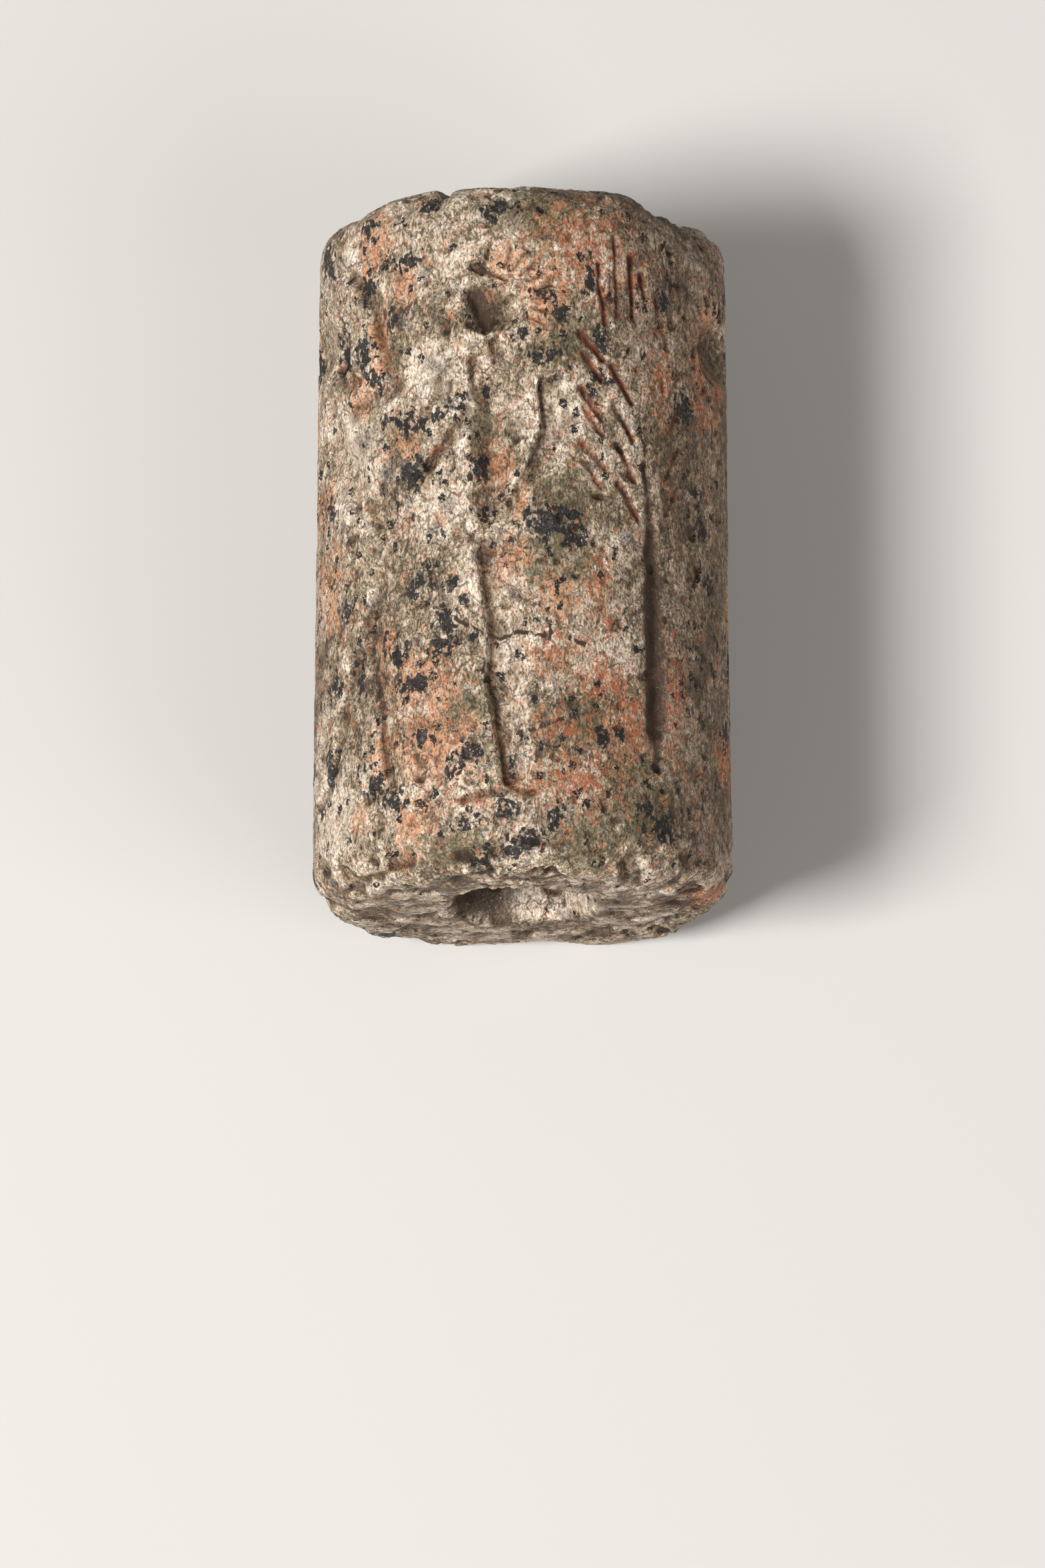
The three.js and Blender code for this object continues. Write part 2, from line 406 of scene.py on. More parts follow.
@dataclass(frozen=True)
class Cut:
    """One tool mark in the stone, from one place to another.

    Attributes:
        start: Where it starts.
        end: Where it ends.
        half_widths: Half its width at both ends.
        depth: Its depth.
        shape: Its cross-section.
        lean: How far to the left its deepest line lies, from -0.8 to 0.8 of its half width.
        REACH: How far out its soft edge can lie, in half widths.
        SOFT: How soft its edge is, as a share of its depth.
        BOWL: How full its floor is. 1 is a cone and more is a rounder bowl.
        DOT: A run shorter than this has no direction.
    """

    start: Place
    end: Place
    half_widths: Widths
    depth: float
    shape: CutShape = CutShape.HOLLOW
    lean: float = 0.0

    REACH = 1.3
    SOFT = 0.06
    BOWL = 1.7
    DOT = 0.01

    def window(self) -> tuple[float, float]:
        """Highest and lowest that the cut reaches, measured down the seal."""
        reach = self.REACH * max(self.half_widths)
        return min(self.start[1], self.end[1]) - reach, max(self.start[1], self.end[1]) + reach

    def rightward(self, run_around: float, run_down: float) -> Place:
        """Points across the cut, towards the right.

        Args:
            run_around: How far the cut runs round the girth.
            run_down: How far it runs down the seal.

        Returns:
            A direction one unit long.
        """
        length = math.hypot(run_around, run_down)
        if length < self.DOT:
            return 1.0, 0.0
        sign = 1.0 if run_down >= 0 else -1.0
        return sign * run_down / length, -sign * run_around / length

    def depth_at(self, form: SealForm, around: Array, down: Array) -> Array:
        """Works out how deep the cut is.

        Args:
            form: The seal that it is in.
            around: Places round the girth.
            down: Places down the seal.

        Returns:
            Depths in mm, 0 outside the cut.
        """
        run_around = float(form.short_way(self.start[0], self.end[0]))
        run_down = self.end[1] - self.start[1]
        here_around = form.short_way(self.start[0], around)
        here_down = down - self.start[1]
        length = max(run_around**2 + run_down**2, 1e-9)
        share = np.clip((here_around * run_around + here_down * run_down) / length, 0.0, 1.0)
        half_width = self.half_widths[0] + share * (self.half_widths[1] - self.half_widths[0])
        off_around = (here_around - share * run_around) / half_width
        off_down = (here_down - share * run_down) / half_width
        across = np.hypot(off_around, off_down)
        if self.shape is CutShape.STROKE:
            inside = 1.0 - across
        else:
            right = self.rightward(run_around, run_down)
            shift = self.lean * right[0]
            middle = (-shift * right[0], -shift * right[1])
            off_around = off_around - middle[0]
            off_down = off_down - middle[1]
            towards = off_around * middle[0] + off_down * middle[1]
            square = off_around**2 + off_down**2
            root = np.sqrt(towards**2 + square * (1.0 - shift**2))
            inside = 1.0 - (square / (root - towards + 1e-9)) ** self.BOWL
        return self.depth * 0.5 * (inside + np.sqrt(inside**2 + self.SOFT**2)) * (across < self.REACH)


def limb(joints: list[Place], half_widths: list[float], depth: float, lean: float = 0.0) -> list[Cut]:
    """Cuts a bent limb through its joints.

    Args:
        joints: Shoulder, elbow and hand, or hip, knee and foot.
        half_widths: Half the limb's width at each joint.
        depth: Its depth.
        lean: Above 0, its left wall is the steeper one.

    Returns:
        One cut for each length of the limb.
    """
    return [
        Cut(start, end, (wide, narrow), depth, lean=lean)
        for start, end, wide, narrow in zip(joints, joints[1:], half_widths, half_widths[1:])
    ]


def stroke(start: Place, end: Place, half_width: float, depth: float) -> Cut:
    """One graver stroke that narrows towards its end from half_width."""
    left = 0.6
    return Cut(start, end, (half_width, left * half_width), depth, CutShape.STROKE)


def fan(
    centre: Place, radii: Widths, turns: Widths, count: int, half_width: float, depth: float
) -> list[Cut]:
    """Cuts strokes that spread from a centre, as hair or fingers do.

    Args:
        centre: The place that they spread from.
        radii: How far from it they start and end.
        turns: First and last direction in degrees, clockwise from the upper end.
        count: How many strokes.
        half_width: Half the width of each.
        depth: Depth of each.

    Returns:
        The strokes.
    """
    strokes = []
    for turn in np.radians(np.linspace(*turns, count)):
        way = np.array((math.sin(turn), -math.cos(turn)))
        inner, outer = (tuple(np.array(centre) + radius * way) for radius in radii)
        strokes.append(stroke(inner, outer, half_width, depth))
    return strokes


@dataclass(frozen=True)
class Figure(ABC):
    """A figure of the scene.

    Attributes:
        line: Where it stands, or where the hips of a stooping one are, round the girth.
    """

    line: float

    @abstractmethod
    def head(self) -> list[Cut]:
        """The head and the hair."""

    @abstractmethod
    def body(self) -> list[Cut]:
        """The trunk and the legs."""

    @abstractmethod
    def arms(self) -> list[Cut]:
        """The arms and the hands."""

    def cuts(self) -> list[Cut]:
        """Everything cut for this figure."""
        return self.head() + self.body() + self.arms()


@dataclass(frozen=True)
class FrontStandingFigure(Figure):
    """Stands facing the stooping figure, one arm out to it and the other held behind."""

    line: float = -0.9

    def head(self) -> list[Cut]:
        """A plain rounded head with a fillet over the brow and crimped hair behind."""
        x = self.line
        return [
            Cut((x - 1.4, 5.95), (x - 0.95, 7.1), (0.86, 0.92), 0.78, lean=0.3),
            Cut((x - 0.75, 6.35), (x - 0.55, 6.75), (1.42, 1.36), 0.72, lean=0.15),
            Cut((x - 1.6, 4.5), (x - 1.2, 4.8), (0.34, 0.3), 0.42, lean=0.4),
            stroke((x - 1.3, 4.65), (x + 0.1, 5.3), 0.24, 0.36),
            stroke((x - 0.9, 4.1), (x - 0.7, 3.3), 0.17, 0.24),
            Cut((x - 1.9, 7.4), (x - 0.9, 7.9), (0.22, 0.2), 0.3),
            Cut((x + 0.8, 5.6), (x + 1.0, 7.2), (0.35, 0.3), 0.18),
            *self.crimps(),
        ]

    def crimps(self) -> list[Cut]:
        """The crimps of the hair round the back of the head."""
        middle = (self.line - 0.4, 6.3)
        return fan(middle, (1.75, 2.75), (15.0, 118.0), 8, 0.2, 0.14)

    def body(self) -> list[Cut]:
        """The neck, the trunk and the legs, deepest at the left."""
        x = self.line
        legs: list[Place] = [(x - 0.3, 18.9), (x + 0.05, 22.5), (x + 0.15, 25.2), (x + 0.55, 30.1)]
        return [
            Cut((x - 0.35, 8.2), (x - 0.05, 10.2), (0.5, 0.6), 0.36, lean=0.5),
            Cut((x - 1.5, 9.3), (x - 1.2, 11.0), (0.5, 0.6), 0.42, lean=0.6),
            Cut((x - 0.1, 11.0), (x - 0.1, 13.9), (1.9, 1.6), 0.66, lean=0.5),
            Cut((x - 0.1, 14.2), (x - 0.3, 16.4), (1.4, 1.5), 0.56, lean=0.35),
            *limb(legs, [1.2, 1.15, 1.15, 0.72], 0.56, lean=0.66),
            Cut((x + 0.4, 30.6), (x + 1.3, 30.95), (0.45, 0.35), 0.3),
            Cut((x + 0.1, 30.8), (x - 2.0, 31.25), (0.4, 0.34), 0.2),
        ]

    def arms(self) -> list[Cut]:
        """One arm held behind, bent at the elbow, and one held out."""
        x = self.line
        out: list[Place] = [(x - 1.7, 11.9), (x - 2.8, 13.1), (x - 3.9, 14.4)]
        return [
            Cut((x + 2.4, 10.6), (x + 2.85, 12.3), (0.85, 1.15), 0.48, lean=0.78),
            *limb([(x + 2.3, 13.2), (x + 1.6, 14.6), (x + 0.35, 16.5)], [0.75, 0.6, 0.36], 0.48, lean=0.6),
            *limb(out, [0.68, 0.6, 0.48], 0.42, lean=0.66),
            *fan((x - 3.9, 14.4), (0.2, 1.0), (205.0, 250.0), 3, 0.16, 0.2),
        ]


@dataclass(frozen=True)
class FrontStoopingFigure(Figure):
    """Stoops away to the left, one arm up and the other hanging. Wear has left it shallow.

    Attributes:
        left_over: The share of its depth that wear has left.
    """

    line: float = -6.2
    left_over: float = 0.58

    def head(self) -> list[Cut]:
        """A plain rounded head, its nape, and strokes of hair."""
        x = self.line
        return [
            Cut((x - 7.2, 6.8), (x - 8.0, 7.1), (1.9, 1.8), 1.0, lean=-0.4),
            Cut((x - 4.7, 6.9), (x - 4.6, 8.3), (0.6, 0.5), 0.75),
            Cut((x - 9.8, 7.3), (x - 10.2, 7.7), (0.35, 0.25), 0.4),
            *fan((x - 7.5, 6.9), (2.1, 3.0), (-60.0, 75.0), 7, 0.28, 0.3),
        ]

    def body(self) -> list[Cut]:
        """The loins, the chest and both legs."""
        x = self.line
        near: list[Place] = [(x - 1.9, 22.4), (x - 1.0, 26.2), (x - 0.9, 29.4)]
        far: list[Place] = [(x - 3.0, 23.6), (x - 4.2, 26.2), (x - 5.3, 28.8)]
        return [
            Cut((x, 17.6), (x - 3.4, 14.6), (1.35, 1.35), 0.75, lean=0.5),
            Cut((x - 4.0, 13.9), (x - 5.4, 12.3), (1.6, 1.65), 0.8),
            Cut((x - 5.9, 10.4), (x - 6.6, 9.2), (0.6, 0.6), 0.5),
            Cut((x - 0.3, 18.8), (x - 1.9, 22.2), (1.45, 1.0), 0.72, lean=0.6),
            *limb(near, [0.85, 0.85, 0.5], 0.6, lean=0.6),
            *limb(far, [0.8, 0.8, 0.5], 0.55, lean=0.3),
            Cut((x - 0.7, 30.0), (x - 2.3, 30.7), (0.48, 0.4), 0.42),
            Cut((x - 5.5, 29.5), (x - 7.5, 30.2), (0.48, 0.4), 0.42),
        ]

    def arms(self) -> list[Cut]:
        """One arm raised past the head and one hanging with open fingers."""
        x = self.line
        raised: list[Place] = [(x - 4.0, 11.2), (x - 0.6, 10.0), (x - 2.2, 5.4), (x - 4.0, 3.9)]
        hanging: list[Place] = [(x - 7.4, 11.9), (x - 9.6, 15.8), (x - 11.4, 19.8), (x - 11.8, 21.4)]
        return [
            *limb(raised, [0.7, 0.75, 0.7, 0.55], 0.6, lean=0.4),
            *limb(hanging, [0.65, 0.6, 0.5, 0.4], 0.5),
            *fan((x - 4.2, 3.8), (0.2, 1.2), (255.0, 320.0), 4, 0.16, 0.22),
            *fan((x - 11.8, 21.4), (0.2, 1.3), (160.0, 215.0), 4, 0.16, 0.22),
        ]

    def cuts(self) -> list[Cut]:
        """Everything cut for this figure, as shallow as it is worn."""
        return [replace(cut, depth=self.left_over * cut.depth) for cut in super().cuts()]


@dataclass(frozen=True)
class BackStandingFigure(Figure):
    """Stands facing the other stooping figure, both arms out and its hair bound up."""

    line: float = 30.9

    def head(self) -> list[Cut]:
        """A plain rounded head with its hair bound in a knot."""
        x = self.line
        return [
            Cut((x - 1.5, 6.9), (x - 1.3, 7.6), (1.3, 1.25), 0.95),
            Cut((x + 0.5, 5.7), (x + 0.7, 6.1), (1.2, 1.15), 0.7),
            Cut((x - 2.9, 7.2), (x - 3.2, 7.6), (0.3, 0.22), 0.35),
            *fan((x + 0.6, 5.9), (1.0, 1.7), (10.0, 150.0), 6, 0.2, 0.5),
        ]

    def body(self) -> list[Cut]:
        """The trunk, the thigh and the shin, down to the broken feet."""
        x = self.line
        return [
            Cut((x - 0.6, 8.8), (x - 0.2, 10.2), (0.55, 0.65), 0.45),
            Cut((x, 11.6), (x, 14.4), (1.85, 1.5), 0.9, lean=0.4),
            Cut((x - 0.2, 15.4), (x - 0.5, 20.4), (1.45, 1.3), 0.85, lean=0.4),
            Cut((x - 0.3, 21.6), (x + 0.1, 28.8), (0.85, 0.55), 0.62, lean=0.4),
        ]

    def arms(self) -> list[Cut]:
        """Both arms bent at the elbow and held out to the left."""
        x = self.line
        upper: list[Place] = [(x - 1.2, 10.7), (x - 3.4, 12.3), (x - 5.4, 12.3)]
        lower: list[Place] = [(x + 1.7, 11.6), (x + 1.5, 15.0), (x + 0.1, 16.6), (x - 3.6, 16.6)]
        return [
            *limb(upper, [0.5, 0.45, 0.38], 0.45),
            *limb(lower, [0.6, 0.6, 0.5, 0.38], 0.5),
            *fan((x - 5.4, 12.3), (0.2, 1.0), (245.0, 290.0), 3, 0.15, 0.2),
            *fan((x - 3.6, 16.6), (0.2, 1.0), (245.0, 290.0), 3, 0.15, 0.2),
        ]


@dataclass(frozen=True)
class BackStoopingFigure(Figure):
    """Stoops away to the left, its hair bound behind, one arm up and the other hanging."""

    line: float = 22.6

    def head(self) -> list[Cut]:
        """A plain rounded head and a bound knot of hair."""
        x = self.line
        return [
            Cut((x - 9.8, 7.2), (x - 10.3, 7.4), (1.9, 1.8), 1.0, lean=0.5),
            Cut((x - 7.5, 7.5), (x - 7.4, 8.0), (1.05, 1.0), 0.7),
            Cut((x - 12.2, 7.6), (x - 12.5, 8.0), (0.35, 0.25), 0.4),
            *fan((x - 9.9, 7.2), (2.0, 2.8), (-50.0, 60.0), 6, 0.25, 0.3),
        ]

    def body(self) -> list[Cut]:
        """The loins, the chest, and the leg it stands on."""
        x = self.line
        leg: list[Place] = [(x - 0.2, 21.4), (x - 0.4, 24.6), (x - 0.7, 28.6)]
        return [
            Cut((x + 0.3, 16.0), (x - 1.8, 13.4), (1.45, 1.4), 0.8),
            Cut((x - 2.6, 12.9), (x - 4.7, 11.9), (1.5, 1.7), 0.85),
            Cut((x - 6.2, 10.6), (x - 7.2, 9.6), (0.6, 0.6), 0.5),
            Cut((x - 0.1, 17.4), (x - 0.4, 20.6), (1.5, 1.2), 0.82, lean=0.5),
            *limb(leg, [0.95, 0.95, 0.5], 0.66, lean=0.5),
            Cut((x - 0.7, 29.3), (x + 1.7, 29.8), (0.5, 0.4), 0.42),
        ]

    def arms(self) -> list[Cut]:
        """One arm raised behind and one hanging with open fingers."""
        x = self.line
        raised: list[Place] = [(x - 4.0, 10.9), (x - 0.2, 9.3), (x + 0.9, 4.8), (x + 1.1, 3.2)]
        hanging: list[Place] = [(x - 6.5, 12.6), (x - 6.5, 17.4), (x - 6.8, 21.0), (x - 7.8, 23.0)]
        return [
            *limb(raised, [0.6, 0.5, 0.42, 0.36], 0.48),
            *limb(hanging, [0.65, 0.6, 0.48, 0.38], 0.5),
            *fan((x + 1.1, 3.1), (0.2, 1.2), (-25.0, 35.0), 4, 0.15, 0.22),
            *fan((x - 7.9, 23.1), (0.2, 1.2), (170.0, 230.0), 4, 0.15, 0.22),
        ]


@dataclass(frozen=True)
class EarOfGrain:
    """An ear of grain on a tall stalk, with awns, and grains in two slanting rows.

    Attributes:
        line: Where it stands, round the girth.
        top: Where its awns end and its grains start, down the seal.
        rows: How many grains the inner row has.
        faint: How deep the worn strokes on the right of the stalk still are.
    """

    line: float
    top: float = 7.6
    rows: int = 4
    faint: float = 0.098

    def stalk(self) -> list[Cut]:
        """The stalk, thin at the top and deepest half way down."""
        x, top = self.line, self.top
        return [
            Cut((x - 0.55, top + 6.5), (x - 0.25, top + 10.0), (0.2, 0.36), 0.12),
            Cut((x - 0.25, top + 10.0), (x - 0.1, top + 12.4), (0.4, 0.55), 0.2),
            Cut((x - 0.1, top + 12.4), (x, 27.4), (0.6, 0.6), 0.34),
            Cut((x, 27.4), (x + 0.1, 29.2), (0.5, 0.36), 0.12),
        ]

    def awns(self) -> list[Cut]:
        """The awns, fanned over the ear."""
        x, top = self.line, self.top
        return [
            stroke((x - 2.75, top - 0.4), (x - 3.2, top - 3.3), 0.27, 0.22),
            stroke((x - 2.05, top - 0.8), (x - 2.25, top - 4.7), 0.28, 0.17),
            stroke((x - 2.45, top - 0.9), (x - 2.5, top - 2.6), 0.16, 0.1),
            stroke((x - 1.27, top - 3.8), (x - 1.17, top - 0.9), 0.32, 0.26),
            stroke((x - 0.66, top - 3.0), (x - 0.47, top - 1.9), 0.28, 0.2),
            stroke((x + 0.2, top - 2.3), (x + 0.3, top - 0.9), 0.22, self.faint),
        ]

    def grain(self, start: Place, run: Place, half_width: float, depth: float) -> Cut:
        """One grain, sunk deepest where the graver went in.

        Args:
            start: Where it starts, from the stalk's line and the ear's top.
            run: How far it runs, round and down.
            half_width: Half its width.
            depth: Its depth.

        Returns:
            The cut.
        """
        place = (self.line + start[0], self.top + start[1])
        end = (place[0] + run[0], place[1] + run[1])
        return Cut(place, end, (half_width, 0.75 * half_width), depth, lean=-0.2)

    def grains(self) -> list[Cut]:
        """The grains: deep single ones beside the stalk and pairs of finer ones outside."""
        inner_pitch, outer_pitch = 1.95, 2.75
        cuts = []
        for row in range(self.rows):
            step = inner_pitch * row
            fade = 1.0 - 0.1 * row
            cuts.append(self.grain((-2.35 + 0.1 * row, 1.85 + step), (1.0, 1.7), 0.28, 0.24 * fade))
            cuts.append(self.grain((1.9 - 0.1 * row, 1.6 + step), (-0.9, 1.5), 0.24, self.faint))
        for row in range((2 * self.rows + 1) // 3):
            step = outer_pitch * row
            fade = 1.0 - 0.12 * row
            cuts.append(self.grain((-4.1, 0.3 + step), (1.3, 1.3), 0.28, 0.2 * fade))
            cuts.append(self.grain((-3.95, 1.25 + step), (1.0, 1.35), 0.24, 0.17 * fade))
        cuts.append(self.grain((-4.0, 3.35), (1.05, 1.15), 0.24, 0.2))
        return cuts

    def cuts(self) -> list[Cut]:
        """Everything cut for this ear."""
        return self.stalk() + self.awns() + self.grains()


@dataclass(frozen=True)
class Chip:
    """A knock: an oval scoop with a ragged floor.

    Attributes:
        place: Its middle.
        half_size: Half its size, round and down.
        depth: Its depth.
    """

    place: Place
    half_size: Widths
    depth: float

    def depth_at(self, form: SealForm, around: Array, down: Array) -> Array:
        """Works out how deep the chip is.

        Args:
            form: The seal that it is in.
            around: Places round the girth.
            down: Places down the seal.

        Returns:
            Depths in mm, 0 outside the chip.
        """
        sideways = form.short_way(self.place[0], around) / self.half_size[0]
        lengthways = (down - self.place[1]) / self.half_size[1]
        return self.depth * np.maximum(1.0 - sideways**2 - lengthways**2, 0.0)


CHIPS = (
    Chip((31.5, 31.4), (3.6, 3.4), 1.5),
    Chip((31.0, 1.2), (1.1, 2.8), 0.9),
    Chip((11.0, 0.8), (4.8, 2.5), 0.68),
    Chip((-4.6, 0.2), (0.7, 1.5), 0.5),
    Chip((-11.6, 0.5), (3.0, 1.8), 0.32),
    Chip((-11.4, 7.7), (0.9, 1.9), 0.75),
    Chip((20.6, 34.9), (3.8, 1.9), 0.6),
    Chip((25.4, 35.3), (1.6, 1.0), 0.3),
    Chip((28.7, 35.2), (0.5, 0.9), 0.3),
    Chip((12.8, 35.3), (3.0, 1.3), 0.25),
    Chip((1.0, 35.2), (8.0, 1.0), 0.22),
)


class Relief:
    """The whole surface of the seal as a grid, with everything that is cut or worn into it."""

    def __init__(self, form: SealForm, grain: Grain) -> None:
        """Lays the grid over the plain form.

        Args:
            form: The plain form.
            grain: Noise for the stone's roughness and the tool's wobble.
        """
        self.form = form
        self.grain = grain
        self.section = form.section()
        self.turn = np.arange(form.columns) * 2 * math.pi / form.columns
        self.around = np.broadcast_to(self.turn * form.mean_radius, self.shape)
        self.down = np.broadcast_to(self.section.down[:, None], self.shape)
        self.plain = self.points_at(np.zeros(self.shape))
        self.cut = np.zeros(self.shape)
        self.chipped = np.zeros(self.shape)

    @property
    def shape(self) -> tuple[int, int]:
        """Rows and columns of the grid."""
        return len(self.section.radius), self.form.columns

    def points_at(self, depth: Array) -> Array:
        """Places the grid in space with the surface sunk.

        Args:
            depth: How far each point is sunk into the stone, in mm.

        Returns:
            x, y and z of each point, in mm.
        """
        form, section = self.form, self.section
        out, up = (part[:, None] for part in section.normals())
        ground = form.ground_off(self.turn)[None, :]
        outer = smooth(section.radius, form.SQUEEZED, form.lower_radius)[:, None]
        radius = section.radius[:, None] + form.mouth_wear(section, self.turn)
        depth = depth - form.proud_rim(section, self.turn)
        limit = form.lower_radius - ground
        squeezed = np.where(ground > 0, np.minimum(radius - ground * outer, limit), radius)
        kept = np.maximum(depth - ground * section.carved[:, None], np.minimum(depth, 0.0))
        left = np.where(ground > 0, kept, depth)
        reach = squeezed - out * left
        along = section.along[:, None] - up * left
        x = reach * np.sin(self.turn)
        z = form.axis_height + reach * np.cos(self.turn)
        return np.stack((x, along, np.maximum(z, 0.0)), axis=-1)

    def carve(self, cuts: list[Cut]) -> None:
        """Sinks cuts with a slightly unsteady hand.

        Args:
            cuts: The tool marks.
        """
        wobble, size = 0.09, 0.8
        around = self.around + wobble * self.grain.at(self.plain, size)
        down = self.down + wobble * self.grain.at(self.plain + 31.0, size)
        for cut in cuts:
            high, low = cut.window()
            rows = np.flatnonzero((self.section.down > high) & (self.section.down < low))
            self.cut[rows] = blended(self.cut[rows], cut.depth_at(self.form, around[rows], down[rows]))
        self.cut *= self.section.carved[:, None]

    def knock(self, chips: tuple[Chip, ...]) -> None:
        """Breaks the chips out, with ragged outlines and floors.

        Args:
            chips: The knocks.
        """
        ragged = 0.45 * self.grain.layered(self.plain + 9.0, 1.6, 3)
        around, down = self.around + ragged, self.down + ragged
        floor = 1.0 + 0.5 * self.grain.layered(self.plain + 53.0, 0.9, 3)
        for chip in chips:
            self.chipped = np.maximum(self.chipped, chip.depth_at(self.form, around, down) * floor)
        self.chipped *= self.section.carved[:, None]

    def weathering(self) -> Array:
        """Works out the stone's own unevenness.

        Returns:
            Depths in mm: slow swells, grain by grain lumps, flaked edges, lost crystals and pits.
        """
        points, grain = self.plain, self.grain
        rough = self.section.rough[:, None]
        edge = 4.0 * rough * (1.0 - rough)
        swell = 0.06 * (1.0 + grain.layered(points, 6.5, 2))
        lumps = (0.05 + 0.13 * rough) * (1.0 + grain.layered(points + 5.0, 1.4, 4))
        lower = np.where(self.down > self.form.length / 2, 1.0, 0.35)
        flakes = lower * (0.25 * edge + 0.16 * rough)
        flakes *= smooth(grain.layered(points + 29.0, 1.7, 2), 0.1, 0.35)
        lost = smooth(grain.layered(points + 71.0, 1.1, 2), 0.42, 0.62)
        lost *= 0.13 + 0.1 * grain.at(points + 77.0, 0.4)
        pits = 0.07 * smooth(grain.at(points + 83.0, 0.42), 0.3, 0.75)
        fibres = 0.03 * (1.0 + grain.at(points * np.array((1.0, 0.4, 1.0)) + 91.0, 0.2))
        usual, more_at_ends = 0.13, 0.12
        worn = swell + lumps + flakes + lost + pits + fibres - usual - more_at_ends * rough
        proudest = 0.03 + 0.4 * (1.0 - rough)
        return np.maximum(worn, -proudest)

    def depth(self) -> Array:
        """Adds up everything that sinks the surface. A cut still shows a little inside a chip."""
        shown = 0.3
        opened = np.maximum(self.cut, self.chipped)
        return opened + shown * np.minimum(self.cut, self.chipped) + self.weathering()

    def hollows(self, depth: Array) -> Array:
        """Finds where the surface lies lower than what is round it.

        Args:
            depth: How far each point is sunk.

        Returns:
            0 on worn ridges, 0.5 on the plain surface, and 1 in corners and pits.
        """

        def around_it(reach: int) -> Array:
            """Averages the depth round each point.

            Args:
                reach: How many points away to look.

            Returns:
                The mean depths.
            """
            mean = depth
            for axis in (0, 1):
                steps = range(-reach, reach + 1)
                mean = sum(np.roll(mean, step, axis) for step in steps) / len(steps)
            return mean

        close, wide, at_ends = 2.6, 1.1, 0.6
        lower = close * (depth - around_it(3)) + wide * (depth - around_it(10))
        lower *= 1.0 + at_ends * self.section.rough[:, None]
        return np.clip(0.5 + lower, 0.0, 1.0)


@dataclass(frozen=True)
class Patch:
    """A crystal or stain of one mineral at the surface.

    Attributes:
        around: Its middle, round the girth.
        down: Its middle, down the seal.
        half_around: Half its size round the girth.
        half_down: Half its size down the seal.
    """

    around: float
    down: float
    half_around: float
    half_down: float

    def nearness(self, form: SealForm, around: Array, down: Array) -> Array:
        """Works out how far inside the patch each place is.

        Args:
            form: The seal that it is in.
            around: Places round the girth.
            down: Places down the seal.

        Returns:
            1 in the middle, 0 at the edge and outside.
        """
        sideways = form.short_way(self.around, around) / self.half_around
        lengthways = (down - self.down) / self.half_down
        return np.maximum(1.0 - np.hypot(sideways, lengthways), 0.0)


def patches(*rows: tuple[float, float, float, float]) -> tuple[Patch, ...]:
    """Makes patches of rows of around, down, half_around and half_down."""
    return tuple(Patch(*row) for row in rows)


BLACK_CRYSTALS = patches(
    (1.3, 17.4, 1.7, 1.15), (2.5, 18.2, 0.9, 0.6), (-5.7, 14.7, 1.0, 0.9), (-2.2, 14.7, 0.55, 0.85),
    (-1.1, 16.0, 0.3, 0.5), (-1.9, 16.9, 0.4, 0.5), (-6.0, 3.9, 1.0, 0.5), (-8.8, 4.7, 1.0, 0.5),
    (-8.9, 1.7, 0.5, 0.6), (-11.2, 7.8, 1.1, 1.9), (-9.1, 8.0, 1.1, 0.8), (-7.0, 6.9, 0.35, 0.8),
    (-8.3, 9.3, 0.6, 0.6), (-7.2, 11.8, 0.7, 0.35), (-6.2, 12.1, 0.8, 0.5), (-5.3, 12.3, 0.6, 0.35),
    (-4.2, 11.9, 0.55, 0.35), (-3.3, 11.6, 0.5, 0.3), (3.9, 8.3, 0.5, 0.9), (3.9, 10.1, 0.8, 0.35),
    (3.4, 5.1, 0.35, 0.9), (2.0, 7.0, 0.75, 0.4), (1.5, 8.9, 0.6, 0.4), (0.8, 9.2, 0.5, 0.4),
    (0.0, 7.9, 0.4, 0.45), (1.1, 5.9, 0.9, 0.35), (-5.7, 20.6, 0.5, 0.55), (-5.2, 20.0, 0.4, 0.5),
    (-4.8, 19.4, 0.35, 0.5), (-3.9, 22.3, 0.9, 0.9), (-3.9, 23.4, 0.9, 0.6), (-3.8, 20.4, 0.8, 0.35),
    (-2.8, 21.2, 0.5, 0.35), (-6.5, 23.7, 0.7, 0.8), (-7.3, 22.7, 0.35, 0.5), (-5.5, 25.4, 0.9, 0.8),
    (-5.2, 27.9, 0.6, 0.5), (-11.3, 24.4, 0.9, 0.8), (-9.0, 24.6, 0.6, 1.2), (-10.3, 21.0, 0.6, 0.6),
    (-2.5, 28.8, 0.9, 0.6), (-3.2, 29.8, 0.6, 0.6), (-8.0, 30.0, 0.7, 0.9), (-9.0, 29.4, 0.4, 0.6),
    (-6.7, 30.9, 0.9, 0.7), (-11.9, 28.9, 0.5, 1.6), (4.0, 28.2, 0.6, 0.8), (4.8, 27.7, 0.5, 0.4),
    (2.4, 26.3, 0.3, 0.3), (6.3, 31.4, 0.6, 0.4), (-0.8, 31.7, 0.6, 0.6), (-2.9, 32.3, 0.9, 0.4),
    (1.6, 32.2, 0.5, 0.8), (0.3, 33.3, 1.2, 0.6), (-0.5, 33.8, 0.8, 0.5), (-2.1, 34.2, 0.7, 0.4),
    (7.4, 32.2, 0.8, 1.0), (-1.3, 1.6, 1.1, 0.6), (-5.0, 1.2, 0.6, 0.4), (7.5, 5.8, 0.7, 0.7),
    (9.2, 10.9, 0.8, 1.0), (10.1, 15.1, 0.7, 0.5), (10.7, 16.8, 0.7, 0.6), (11.5, 19.5, 0.8, 0.7),
)

